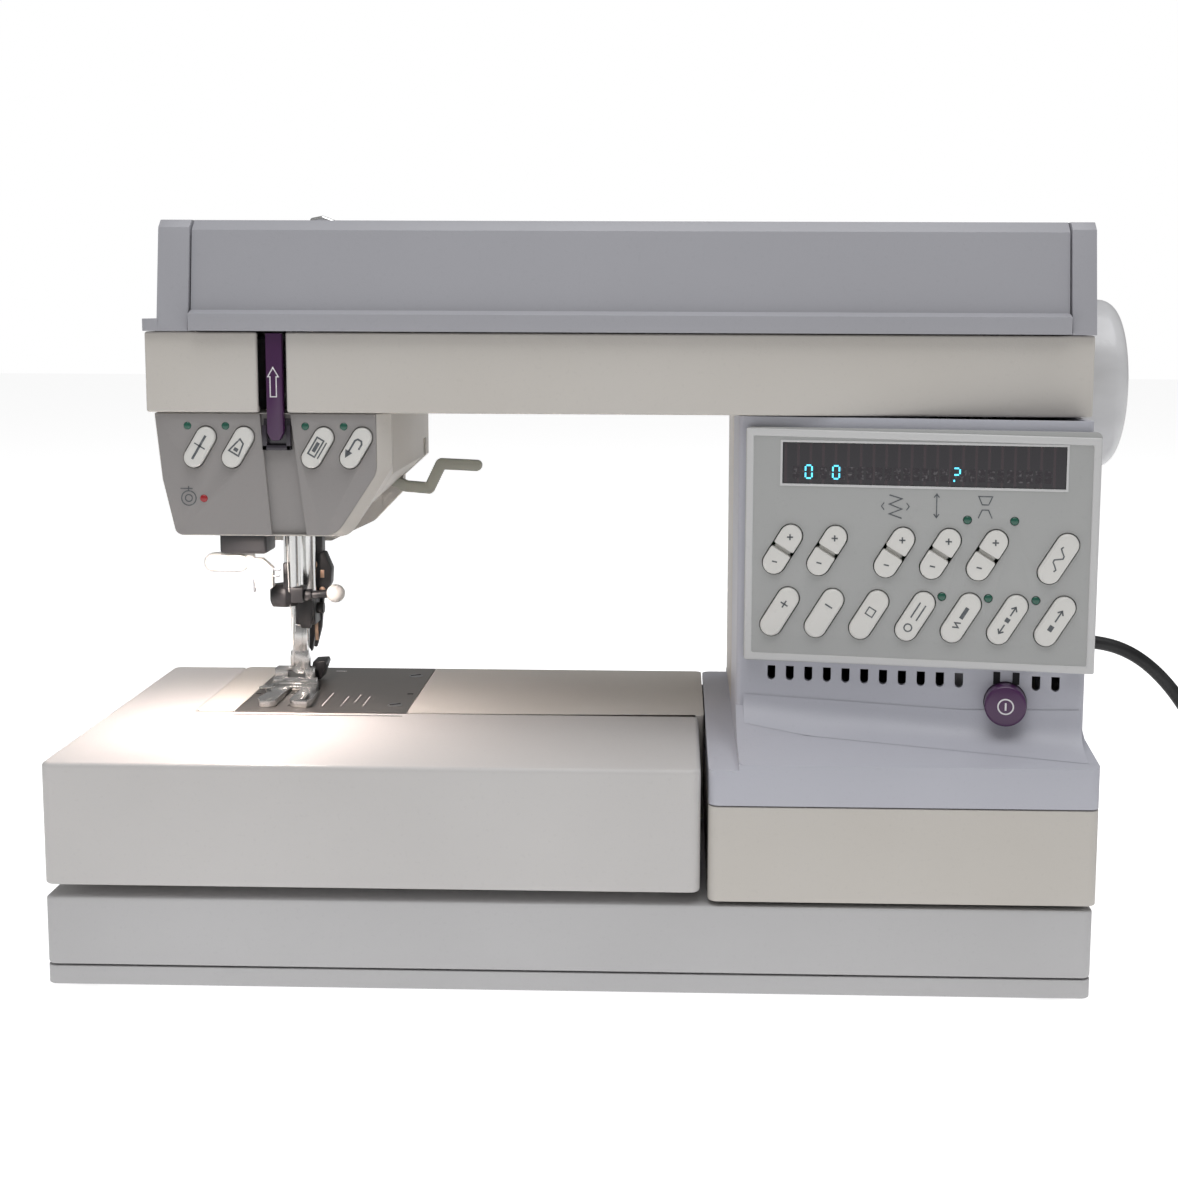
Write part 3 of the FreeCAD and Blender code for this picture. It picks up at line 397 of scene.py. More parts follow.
edges = {"base_pan": 0.7, "base_plinth": 1.2, "lower_housing": 0.9, "column_housing": 1.1,
         "accessory_tray": 1.0,
         "free_arm_shell": 0.9, "arm_front_cover": 1.2, "rear_cover": 1.0, "lid": 1.0, "lid_end_caps": 1.0,
         "panel_bezel": 0.7, "power_button": 1.0, "lifter_lever": 1.2,
         "top_tray": 0.6, "handwheel": 0.8}
looks = {"base_pan": "base_grey", "base_plinth": "base_grey", "column_housing": "column_grey",
         "accessory_tray": "tray_grey"}
keyEdges = [n for n in bodyOf if "_key" in n and "rocker" not in n]
for nodeName, width in {**edges, **{n: 1.1 for n in keyEdges}}.items():
    softened(nodeName, width, slotOf[nodeName], bodyOf[nodeName], looks.get(nodeName))
print("casings and keys rounded")


# ---- helpers for printed marks, simple solids and repeats
panelSet = {"corner": (68.0, -50.0), "turn": 9.0, "tilt": 31.0, "low": 124.5, "high": 217.0, "width": 135.0,
            "printed": -1.79, "keys": (14.7, 32.2, 49.6, 67.4, 84.9, 102.5, 120.3), "keyHigh": 144.4,
            "rockers": (15.5, 32.9, 58.9, 76.5, 94.2), "rockerHigh": 169.2, "displayKey": (120.8, 168.6)}


panelTurn = math.radians(panelSet["turn"])


def panelPoint(s, depth, z):
    x0, y0 = panelSet["corner"]
    return (x0 + s * math.cos(panelTurn) + depth * math.sin(panelTurn),
            y0 - s * math.sin(panelTurn) + depth * math.cos(panelTurn), z)


def onPanel(s, depth, z):
    return mm(*panelPoint(s, depth, z))


def besidePanel(s, depth, z):
    return onPanel(s, depth, z) - onPanel(0, 0, 0)


def leaning(s0, z0, tilt):
    c, k = math.cos(math.radians(tilt)), math.sin(math.radians(tilt))
    return lambda across, along: (s0 + across * c + along * k, z0 - across * k + along * c)


def addSides(bm, a, b):
    for i in range(len(a)):
        j = (i + 1) % len(a)
        bm.faces.new((a[i], a[j], b[j], b[i]))


def addStroke(bm, points, width, place, depth, thick=0.12, closed=False):
    pts = [Vector(p) for p in points]
    n = len(pts)
    left, right = [], []
    for i, p in enumerate(pts):
        before = pts[i - 1] if (i or closed) else p
        after = pts[(i + 1) % n] if (i < n - 1 or closed) else p
        a, b = (p - before), (after - p)
        a = a.normalized() if a.length > 1e-9 else b.normalized()
        b = b.normalized() if b.length > 1e-9 else a
        side = Vector((-(a.y + b.y), a.x + b.x))
        side = side.normalized() if side.length > 1e-6 else Vector((-a.y, a.x))
        grow = width / 2 / max(0.45, side.dot(Vector((-a.y, a.x))))
        left.append(p + side * grow)
        right.append(p - side * grow)
    rings = []
    for l, r in zip(left, right):
        rings.append([bm.verts.new(place(q.x, d, q.y)) for q, d in
                      ((l, depth), (r, depth), (r, depth - thick), (l, depth - thick))])
    spans = list(zip(rings, rings[1:])) + ([(rings[-1], rings[0])] if closed else [])
    for a, b in spans:
        addSides(bm, a, b)
    if not closed:
        bm.faces.new(rings[0][::-1])
        bm.faces.new(rings[-1])


def finishMesh(name, bm):
    bmesh.ops.recalc_face_normals(bm, faces=bm.faces)
    mesh = bpy.data.meshes.new(name)
    bm.to_mesh(mesh)
    bm.free()
    return mesh


def built(name, build):
    bm = bmesh.new()
    build(bm)
    return finishMesh(name, bm)


def marks(name, strokes, place, depth, slot, body, finish="ink", width=0.55):
    bm = bmesh.new()
    for points, *rest in strokes:
        addStroke(bm, points, rest[0] if rest else width, place, depth, closed=len(rest) > 1)
    return addPiece(name, finishMesh(name, bm), slot, body, finish)


def turnedBy(turned, strokes):
    return [([turned(*p) for p in points], *rest) for points, *rest in strokes]


def ring(cx, cz, r, steps=20):
    return [(cx + r * math.cos(2 * math.pi * i / steps),
             cz + r * math.sin(2 * math.pi * i / steps)) for i in range(steps)]


def addBlock(bm, low, high, place=mm):
    corner = [bm.verts.new(place(x, y, z)) for x in (low[0], high[0]) for y in (low[1], high[1])
              for z in (low[2], high[2])]
    for f in ((0, 1, 3, 2), (4, 6, 7, 5), (0, 4, 5, 1), (2, 3, 7, 6), (0, 2, 6, 4), (1, 5, 7, 3)):
        bm.faces.new([corner[i] for i in f])


def addLathe(bm, profile, base, axis, steps=32, place=mm):
    up = Vector(axis).normalized()
    side = up.orthogonal().normalized()
    other = up.cross(side)
    rings = []
    for r, h in profile:
        centre = Vector(base) + up * h
        if r < 1e-6:
            rings.append([bm.verts.new(place(*centre))])
        else:
            rings.append([bm.verts.new(place(*(centre + (side * math.cos(a) + other * math.sin(a)) * r)))
                          for a in (2 * math.pi * i / steps for i in range(steps))])
    for a, b in zip(rings, rings[1:]):
        for i in range(steps):
            j = (i + 1) % steps
            quad = [a[i % len(a)], a[j % len(a)], b[j % len(b)], b[i % len(b)]]
            if len(set(quad)) >= 3:
                bm.faces.new(list(dict.fromkeys(quad)))
    for end in (rings[0], rings[-1]):
        if len(end) > 2:
            bm.faces.new(end)


def lying(x, z, y):
    return mm(x, y, z)


def addPrism(bm, outline, near, far, place):
    a = [bm.verts.new(place(x, near, z)) for x, z in outline]
    b = [bm.verts.new(place(x, far, z)) for x, z in outline]
    bm.faces.new(a)
    bm.faces.new(b[::-1])
    for i in range(len(a)):
        j = (i + 1) % len(a)
        bm.faces.new((a[j], a[i], b[i], b[j]))


def solid(name, build, slot, body, finish=None, bevel=0.4, replaced=(), angle=32.0, segments=2):
    return addPiece(name, rounded(name, built(name, build), bevel, segments, angle), slot, body, finish,
                    replaced)


def spotTree(name, material):
    tree = bpy.data.node_groups.new(name, "GeometryNodeTree")
    tree.interface.new_socket("Places", in_out="INPUT", socket_type="NodeSocketGeometry")
    unit = tree.interface.new_socket("Unit", in_out="INPUT", socket_type="NodeSocketObject")
    tree.interface.new_socket("Geometry", in_out="OUTPUT", socket_type="NodeSocketGeometry")
    given, made = tree.nodes.new("NodeGroupInput"), tree.nodes.new("NodeGroupOutput")
    info, place = tree.nodes.new("GeometryNodeObjectInfo"), tree.nodes.new("GeometryNodeInstanceOnPoints")
    real, paint = tree.nodes.new("GeometryNodeRealizeInstances"), tree.nodes.new("GeometryNodeSetMaterial")
    paint.inputs["Material"].default_value = material
    for a, b in ((given.outputs["Unit"], info.inputs[0]), (given.outputs["Places"], place.inputs["Points"]),
                 (info.outputs["Geometry"], place.inputs["Instance"]),
                 (place.outputs[0], real.inputs[0]), (real.outputs[0], paint.inputs["Geometry"]),
                 (paint.outputs[0], made.inputs[0])):
        tree.links.new(a, b)
    return tree, unit.identifier


def spotsOf(name, build, places, slot, body, finish=None, bevel=0.0, replaced=()):
    unit = bpy.data.objects.new(name + ".unit", rounded(name, built(name, build), bevel))
    points = bpy.data.meshes.new(name + "Places")
    points.from_pydata([mm(*p) for p in places], [], [])
    holder = bpy.data.objects.new(name + ".places", points)
    for o in (unit, holder):
        show(o)
    tree, unitId = spotTree(name + "Spots", finishes[finish or slot])
    mod = holder.modifiers.new("spots", "NODES")
    mod.node_group = tree
    mod[unitId] = unit
    mesh = evaluated(holder)
    for o in (unit, holder):
        bpy.data.objects.remove(o)
    smoothByAngle(mesh)
    return addPiece(name, mesh, slot, body, finish, replaced)


def bare(x, y, z):
    return Vector((x, y, z)) / 1000


# ---- control panel
def midLine(a, b):
    return [((p[0] + q[0]) / 2, (p[1] + q[1]) / 2) for p, q in zip(a, b)]


def makePanel():
    s = panelSet
    rim = [(0.6, s["low"]), (s["width"] + 0.6, s["low"] - 0.4), (s["width"] + 0.6, s["high"] - 1.6),
           (0.6, s["high"])]
    inner = [(4.0, s["low"] + 3.4), (s["width"] - 2.6, s["low"] + 3.0), (s["width"] - 2.6, s["high"] - 5.2),
             (4.0, s["high"] - 3.6)]
    bm = bmesh.new()
    addStroke(bm, midLine(rim, inner), 3.0, onPanel, 1.2, 1.8, closed=True)
    mesh = rounded("panelRim", finishMesh("panelRim", bm), 0.7, 3)
    addPiece("panelRim", mesh, "panel_grey", "machine", "rim_white")
    frameLine = [(14.6, 194.7), (123.2, 194.7), (123.2, 211.8), (14.6, 211.8)]
    bm = bmesh.new()
    addStroke(bm, frameLine, 0.9, onPanel, 0.1, 0.35, closed=True)
    addPiece("windowLip", rounded("windowLip", finishMesh("windowLip", bm), 0.15), "panel_grey", "machine",
             "rim_white")


segmentLines = {"a": ((0, 2), (1, 2)), "b": ((1, 2), (1, 1)), "c": ((1, 1), (1, 0)), "d": ((0, 0), (1, 0)),
                "e": ((0, 0), (0, 1)), "f": ((0, 1), (0, 2)), "g": ((0, 1), (1, 1))}


displaySet = {"digits": ((24.0, "abcdef"), (34.6, "abcdef"), (80.6, "abg")), "low": 197.4, "side": 2.5,
              "gap": 0.35,
              "dot": (81.0, 197.2, 198.0), "cells": 28, "pitch": 3.55, "cellRows": (0.0, 2.6)}


def makeDisplay():
    d = displaySet
    strokes = []
    for s0, lit in d["digits"]:
        for key in lit:
            (ax, az), (bx, bz) = segmentLines[key]
            gapX, gapZ = (d["gap"] if bx != ax else 0), (d["gap"] if bz != az else 0)
            lowX, highX = min(ax, bx) * d["side"] + gapX, max(ax, bx) * d["side"] - gapX
            lowZ, highZ = min(az, bz) * d["side"] + gapZ, max(az, bz) * d["side"] - gapZ
            strokes.append(([(s0 + lowX, d["low"] + lowZ), (s0 + highX, d["low"] + highZ)],))
    across, *ends = d["dot"]
    strokes.append(([(across, z) for z in ends],))
    marks("displayDigits", strokes, onPanel, 0.35, "display", "machine", "glow", 0.62)

    def cell(bm):
        for dz in d["cellRows"]:
            addBlock(bm, (19.0, 0.34, 197.2 + dz), (21.6, 0.42, 199.4 + dz), besidePanel)
    places = [panelPoint(i * d["pitch"], 0, 0) for i in range(d["cells"])]
    spotsOf("displayCells", cell, places, "display", "machine", "cells")


def makePanelMarks():
    zigzag = [(56.6, 191.6), (61.4, 190.2), (56.6, 188.0), (61.4, 186.2), (56.6, 184.2), (61.4, 182.6)]
    arrow = [([(74.6, 183.4), (74.6, 192.2)],), ([(73.6, 191.0), (74.6, 192.4), (75.6, 191.0)],),
             ([(73.6, 184.6), (74.6, 183.2), (75.6, 184.6)],)]
    trapeze = [([(90.4, 191.8), (95.6, 191.8), (94.2, 188.6), (91.8, 188.6)], 0.4, True),
               ([(90.4, 183.4), (91.8, 186.6), (94.2, 186.6), (95.6, 183.4)], 0.4)]
    around = [([(54.6, 188.6), (53.6, 187.2), (54.6, 185.8)], 0.35),
              ([(63.2, 188.6), (64.2, 187.2), (63.2, 185.8)], 0.35)]
    marks("panelSymbols", [(zigzag, 0.5)] + arrow + trapeze + around, onPanel, -0.02, "panel_grey", "machine",
          "ink", 0.4)


def makeKeyMarks():
    keys = {1: [([(0, 2.2), (0, 5.4)],), ([(-1.6, 3.8), (1.6, 3.8)],)], 2: [([(-1.6, 3.6), (1.6, 3.6)],)],
            3: [([(-1.5, 0), (1.5, 0), (1.5, 3), (-1.5, 3)], 0.45, True)],
            4: [([(-1.2, -1), (-1.2, 6)],), ([(1.2, -1), (1.2, 6)],), (ring(0, -5, 1.5, 12), 0.5, True)],
            5: [([(-1.0, -4.5), (1.0, -3.5), (-1.0, -2.5), (1.0, -1.5)],), ([(0, 0), (0, 5)], 1.5)],
            6: [([(0, 2), (0, 6)],), ([(-1.2, 4.6), (0, 6), (1.2, 4.6)],), ([(0, -2), (0, -6)],),
                ([(-1.2, -4.6), (0, -6), (1.2, -4.6)],), ([(-0.9, 0), (0.9, 0)], 1.8)],
            7: [([(0, 0), (0, 5)],), ([(-1.2, 3.6), (0, 5), (1.2, 3.6)],), ([(-0.9, -3), (0.9, -3)], 2.4)]}
    for i, strokes in keys.items():
        turned = leaning(panelSet["keys"][i - 1], panelSet["keyHigh"], panelSet["tilt"])
        marks("ovalMark" + str(i), turnedBy(turned, strokes), onPanel, panelSet["printed"],
              "key_white", "oval_key_%d" % i)
    turned = leaning(*panelSet["displayKey"], panelSet["tilt"])
    wave = [turned(1.4 * math.sin(t * 1.1), t) for t in range(-5, 6)]
    marks("displayMark", [(wave, 0.5)], onPanel, panelSet["printed"], "key_white", "display_key")
    for i, s0 in enumerate(panelSet["rockers"]):
        turned = leaning(s0, panelSet["rockerHigh"], panelSet["tilt"])
        plus = leaning(*turned(0, 5.9), 0)
        minus = leaning(*turned(0, -5.6), 0)
        strokes = [([plus(0, -1.2), plus(0, 1.2)],), ([plus(-1.2, 0), plus(1.2, 0)],),
                   ([minus(-1.0, 0.2), minus(1.0, -0.2)],)]
        marks("rockerMark%d" % (i + 1), strokes, onPanel, panelSet["printed"], "key_white",
              "rocker_key_%d" % (i + 1))


def capOutline(length, width, gap, upper, steps=10):
    r = width / 2
    top = length / 2 - r
    arc = [(-r * math.cos(math.pi * i / steps),
            top + r * math.sin(math.pi * i / steps)) for i in range(steps + 1)]
    pts = [(-r, gap / 2)] + arc + [(r, gap / 2)]
    return pts if upper else [(-x, -z) for x, z in pts]


def makeRockers():
    for i, s0 in enumerate(panelSet["rockers"]):
        turned = leaning(s0, panelSet["rockerHigh"], panelSet["tilt"])

        def caps(bm):
            for upper in (True, False):
                outline = [turned(*p) for p in capOutline(21.4, 8.8, 1.7, upper)]
                addPrism(bm, outline, -1.8, 4.9, onPanel)
            addPrism(bm, [turned(*p) for p in ((-3.6, -1.4), (3.6, -1.4), (3.6, 1.4), (-3.6, 1.4))], 1.6, 4.8,
                     onPanel)
        node = "rocker_key_%d" % (i + 1)
        solid("rockerCaps%d" % (i + 1), caps, "key_white", node, None, 0.7, (node,))


def makePowerMark():
    centre = (102.8, 111.0)
    marks("powerMark", [(ring(*centre, 2.9, 28), 0.55, True), ([(102.8, 109.5), (102.8, 112.5)], 0.7)],
          onPanel, -3.99,
          "purple", "power_button", "ink_light")


makePanel()
makeDisplay()
makePanelMarks()
makeKeyMarks()
makeRockers()
makePowerMark()
print("control panel made")


# ---- sewing head
headSet = {"front": -50.0, "seam": -21.3, "keys": (-146.6, -131.5, -99.9, -84.7), "keyHigh": 207.7,
           "tilt": 31.0, "plate": 4.6, "middle": (-120, 197)}


def roundedOutline(corners, steps=5):
    out = []
    n = len(corners)
    for i, (x, z, r) in enumerate(corners):
        here = Vector((x, z))
        a = (Vector(corners[i - 1][:2]) - here).normalized()
        b = (Vector(corners[(i + 1) % n][:2]) - here).normalized()
        half = a.angle(b) / 2
        centre = here + (a + b).normalized() * (r / math.sin(half))
        p, q = here + a * (r / math.tan(half)), here + b * (r / math.tan(half))
        start = math.atan2(p.y - centre.y, p.x - centre.x)
        sweep = (math.atan2(q.y - centre.y, q.x - centre.x) - start + math.pi) % (2 * math.pi) - math.pi
        out += [(centre.x + r * math.cos(start + sweep * k / steps),
                 centre.y + r * math.sin(start + sweep * k / steps))
                for k in range(steps + 1)]
    return out


def addLoft(bm, rings, place, closed=False):
    made = [[bm.verts.new(place(x, depth, z)) for x, z in outline] for outline, depth in rings]
    pairs = list(zip(made, made[1:])) + ([(made[-1], made[0])] if closed else [])
    for a, b in pairs:
        addSides(bm, a, b)
    if not closed:
        bm.faces.new(made[0][::-1])
        bm.faces.new(made[-1])


def cutBy(mesh, cutter):
    holders = [bpy.data.objects.new("cut%d" % i, m) for i, m in enumerate((mesh, cutter))]
    for h in holders:
        show(h)
    mod = holders[0].modifiers.new("cut", "BOOLEAN")
    mod.operation, mod.object, mod.solver = "DIFFERENCE", holders[1], "EXACT"
    out = evaluated(holders[0])
    for h in holders:
        bpy.data.objects.remove(h)
    return out


def pillOutline(length, width, place, steps=10):
    top = capOutline(length, width, 0.0, True, steps)[1:-1]
    low = capOutline(length, width, 0.0, False, steps)[1:-1]
    return [place(*p) for p in top + low]


def makeHead():
    plate = [(-164.3, 221.0, 0.5), (-161.8, 195.0, 6), (-156.9, 172.8, 3), (-93.2, 172.8, 9),
             (-76.6, 197.8, 9),
             (-76.6, 221.0, 0.5)]
    proud = [(-165.0, 221.2, 0.5), (-162.6, 195.0, 6), (-157.8, 171.9, 3), (-88.4, 171.9, 8),
             (-71.4, 199.8, 8),
             (-71.4, 221.2, 0.5)]
    back = [(-164.5, 221.2, 0.5), (-162.0, 195.0, 6), (-157.0, 173.0, 2), (-99.0, 173.0, 4),
            (-75.0, 195.0, 4),
            (-75.0, 221.2, 0.5)]
    inner = [(-161.9, 218.6, 0.5), (-159.4, 195.2, 6), (-154.8, 175.6, 1), (-100.0, 175.6, 3),
             (-77.6, 196.2, 3),
             (-77.6, 218.6, 0.5)]
    front, seam = headSet["front"], headSet["seam"]

    def shrink(outline, by):
        cx, cz = headSet["middle"]
        return [(cx + (x - cx) * by, cz + (z - cz) * by) for x, z in outline]
    plateLine = roundedOutline(plate)
    bm = bmesh.new()
    addLoft(bm, [(shrink(plateLine, 1.004), front + 0.35), (roundedOutline(proud), front + 4.6),
                 (roundedOutline(back), seam), (roundedOutline(inner), seam),
                 (shrink(plateLine, 0.996), front + 2.0), (shrink(plateLine, 0.999), front + 0.35)], mm, True)
    mesh = finishMesh("headShell", bm)
    smoothByAngle(mesh, 40)
    addPiece("headShell", mesh, "shell_white", "machine", None, ("face_cover",))

    bm = bmesh.new()
    addPrism(bm, shrink(plateLine, 0.997), front, front + headSet["plate"], mm)
    whole = finishMesh("headPlate", bm)
    bm = bmesh.new()
    addPrism(bm, [(-123.0, 224), (-111.0, 224), (-104.6, 170), (-118.6, 170)], front - 1, front + 2.4, mm)
    for x in headSet["keys"]:
        addPrism(bm, pillOutline(18.4, 8.7, leaning(x, headSet["keyHigh"], headSet["tilt"])), front - 1,
                 front + 9, mm)
    cut = cutBy(whole, finishMesh("headCuts", bm))
    addPiece("headPlate", rounded("headPlate", cut, 0.25, 2, 40), "panel_grey", "machine", "face_grey")


def makeGuide():
    def bar(bm):
        outline = [(-119.3, 252.6), (-112.9, 252.6), (-112.9, 213.6), (-114.4, 210.6), (-117.8, 210.6),
                   (-119.3, 213.6)]
        addPrism(bm, outline, -52.6, -48.4, mm)
    solid("threadGuide", bar, "purple", "machine", None, 0.5, ("take_up_guide",))

    def holder(bm):
        for low, high in (((-121.8, 206.6), (-119.9, 216.5)), ((-112.3, 206.6), (-110.6, 216.5)),
                          ((-121.8, 206.6), (-110.6, 208.6))):
            addBlock(bm, (low[0], -50.4, low[1]), (high[0], -47.2, high[1]))
        addBlock(bm, (-121.6, -48.3, 208.0), (-110.8, -47.6, 219.0))
    solid("guideHolder", holder, "purple", "machine", "holder_dark", 0.25)
    arrow = [([(-117.6, 227.8), (-117.6, 235.6), (-118.5, 235.6), (-116.4, 239.2), (-114.3, 235.6),
               (-115.2, 235.6),
               (-115.2, 227.8)], 0.42, True)]
    marks("guideArrow", arrow, mm, -52.61, "purple", "machine", "ink_light")


def makeHeadMarks():
    icons = [[([(0, -5.4), (0, 5.4)], 0.9), ([(-2.4, 0.6), (2.4, 0.6)], 0.45)],
             [([(-2.2, -2.6), (2.2, -2.6), (1.4, 2.6), (-0.6, 3.6)], 0.6, True),
              ([(-0.8, -0.9), (0.9, -0.9)], 1.4)],
             [([(-2.0, -3.6), (1.0, -3.6), (1.0, 3.8), (-2.0, 3.8)], 0.6, True),
              ([(-0.5, -2.0), (-0.5, 2.2)], 1.4),
              ([(2.3, -3.6), (2.3, 3.8)], 0.5)],
             [([(-1.6, -3.8), (-1.6, 2.6), (-0.9, 3.6), (0.7, 3.6), (1.4, 2.6), (1.4, 0.2)], 0.7),
              ([(-2.6, -2.6), (-1.6, -4.6), (-0.6, -2.6)], 0.7, True)]]
    for i, (x, strokes) in enumerate(zip(headSet["keys"], icons)):
        turned = leaning(x, headSet["keyHigh"], headSet["tilt"])
        marks("headMark%d" % (i + 1), turnedBy(turned, strokes), mm,
              headSet["front"] + panelSet["printed"], "key_white", "head_key_%d" % (i + 1))
    strokes = [(ring(-151.6, 187.4, 2.9), 0.4, True), (ring(-151.6, 187.4, 1.4, 12), 0.4, True),
               ([(-154.8, 191.2), (-150.0, 191.2)], 0.35), ([(-151.6, 190.4), (-151.6, 192.2)], 0.35)]
    marks("windingMark", strokes, mm, headSet["front"] - 0.02, "panel_grey", "machine", "ink")


def domed(axis, r, rise=0.5, sunk=1.6):
    profile = [(r, -sunk), (r, 0.0), (r * 0.92, rise * 0.45), (r * 0.7, rise * 0.8), (r * 0.35, rise),
               (0, rise * 1.05)]
    return lambda bm: addLathe(bm, profile, (0, 0, 0), axis, 20, bare)


lampSet = {"r": 1.55, "panel": ((86.4, 182.6), (104.1, 182.6), (77.5, 152.5), (95.1, 152.4), (113.0, 152.2)),
           "besideKey": -4.8, "headHigh": 216.1, "winding": (-145.6, 187.3)}


def makeLamps():
    out, r, front = (-math.sin(panelTurn), -math.cos(panelTurn), 0), lampSet["r"], headSet["front"]
    spotsOf("panelLamps", domed(out, r), [panelPoint(s, 0, z) for s, z in lampSet["panel"]], "led", "machine",
            None, 0, ("indicator_leds",))
    beside = [(x + lampSet["besideKey"], front, lampSet["headHigh"]) for x in headSet["keys"]]
    spotsOf("headLamps", domed((0, -1, 0), r), beside, "led", "machine")
    x, z = lampSet["winding"]
    spotsOf("windingLamp", domed((0, -1, 0), r), [(x, front, z)], "led", "machine", "led_red")


makeHead()
makeGuide()
makeHeadMarks()
makeLamps()
print("sewing head made")


# ---- needle, presser foot and the levers round them
needleSet = {"x": -130.0, "y": 33.0}


def addRod(bm, a, b, r, steps=16, r2=None):
    a, b = Vector(a), Vector(b)
    addLathe(bm, [(r, 0), (r if r2 is None else r2, (b - a).length)], a, b - a, steps)


def makeNeedleBar():
    x, y = needleSet["x"], needleSet["y"]

    def bar(bm):
        addLathe(bm, [(0, 0), (2.9, 0), (3.6, 0.8), (3.6, 3.0), (3.2, 3.4), (3.2, 4.4), (3.6, 4.8),
                      (3.6, 104.6),
                      (3.0, 105)], (x, y, 131), (0, 0, 1), 32)
    solid("needleBarRod", bar, "bright_steel", "needle_bar", None, 0, ("needle_bar",))

    def clamp(bm):
        addLathe(bm, [(6.2, 0), (7.3, 2.4), (7.3, 6.6), (6.4, 8.2), (5.0, 9.8)], (x - 3.6, y, 130.0),
                 (0, 0, 1), 6)
        addBlock(bm, (x - 4.4, y - 5.0, 132.0), (x + 5.6, y + 5.0, 138.6))
        addRod(bm, (x + 5.0, y, 134.6), (-114.0, y, 135.4), 1.9)
        addRod(bm, (x + 5.0, y, 134.6), (x + 9.0, y, 134.9), 2.7)
        addBlock(bm, (x - 2.9, y - 5.4, 138.0), (x - 0.7, y - 2.0, 149.8))
    solid("needleClamp", clamp, "black_plastic", "needle_bar", None, 0.35)

    def knob(bm):
        profile = [(4.15 * math.sin(math.pi * i / 14),
                    4.15 - 4.15 * math.cos(math.pi * i / 14)) for i in range(15)]
        addLathe(bm, profile, (-114.7, y, 135.6), (1, 0, 0), 28)
    solid("needleKnob", knob, "key_white", "needle_bar", None, 0, ("needle_screw",), 60)

    def thread(bm):
        path = [(-131.2, 27.6, 206), (-131.0, 27.8, 172), (-130.7, 27.7, 150), (-130.4, 27.6, 138),
                (-130.3, 28.4, 131),
                (-130.1, 31.7, 125), (-130.0, 32.4, 112)]
        for a, b in zip(path, path[1:]):
            addRod(bm, a, b, 0.24, 8)
    solid("needleThread", thread, "key_white", "needle_bar", None, 0)


def makePresser():
    def bar(bm):
        addLathe(bm, [(3.2, 0), (4.0, 0.8), (4.0, 137.2), (3.4, 138)], (-127, 50, 124), (0, 0, 1), 32)
        addLathe(bm, [(7.4, 0), (8.0, 0.6), (8.0, 7.4), (7.4, 8)], (-127, 50, 197), (0, 0, 1), 32)
        addPrism(bm, [(-132.4, 128), (-127.6, 128), (-126.6, 118), (-130.8, 118), (-131.6, 123)], 45.2, 47.4,
                 mm)
        addBlock(bm, (-133.4, 46.6, 106.4), (-127.0, 51.4, 117.6))
        addPrism(bm, [(-134.6, 106.4), (-127.2, 106.4), (-126.4, 102.8), (-126.4, 97.4), (-128.8, 95.6),
                      (-132.2, 95.6),
                      (-135.0, 97.6), (-135.0, 103.2)], 47.4, 51.4, mm)
        addRod(bm, (-141.0, 50, 97.5), (-125.0, 50, 97.5), 1.3)
    solid("presserShank", bar, "bright_steel", "presser_bar", None, 0.3, ("presser_bar",))

    def footClamp(bm):
        addPrism(bm, [(-132.6, 133.4), (-122.6, 133.4), (-122.6, 129), (-124.4, 117.6), (-128.6, 117.6),
                      (-130.6, 123.6)],
                 42.8, 45.4, mm)
        addBlock(bm, (-131.8, 44.6, 119.0), (-122.4, 56.0, 133.2))
        addRod(bm, (-123, 50, 126), (-119.4, 50, 126), 2.6)
    solid("presserClamp", footClamp, "black_plastic", "presser_bar", None, 0.4)

    def foot(bm):
        sole = [(-143.0, 48.6), (-122.4, 49.2), (-118.6, 30.0), (-116.8, 8.0), (-118.2, 4.6), (-124.0, 4.6),
                (-126.2, 6.4), (-127.4, 38.0), (-132.8, 38.0), (-132.4, 6.4), (-134.6, 4.6), (-139.0, 4.6),
                (-140.6, 8.0),
                (-140.9, 26.0), (-143.2, 33.0)]
        addLoft(bm, [(sole, 0), (sole, 1)], lambda x, up, y: mm(x, y, 90.0 + up * (1.7 if y > 10 else 3.4)))
        for low, high in (((-141.8, 46.0, 91.4), (-136.0, 52.4, 98.4)),
                          ((-128.0, 46.0, 91.4), (-124.0, 52.4, 98.4))):
            addBlock(bm, low, high)
        addPrism(bm, [(-142.6, 91.4), (-121.8, 91.4), (-122.4, 94.4), (-142.0, 94.4)], 43.6, 46.2, mm)
        addRod(bm, (-146.0, 34.6, 91.6), (-139.6, 30.8, 92.8), 0.8, 10)
        addRod(bm, (-146.0, 34.6, 91.6), (-144.8, 40.4, 91.2), 0.8, 10)
    solid("footSole", foot, "bright_steel", "presser_foot", None, 0.3, ("presser_foot",))


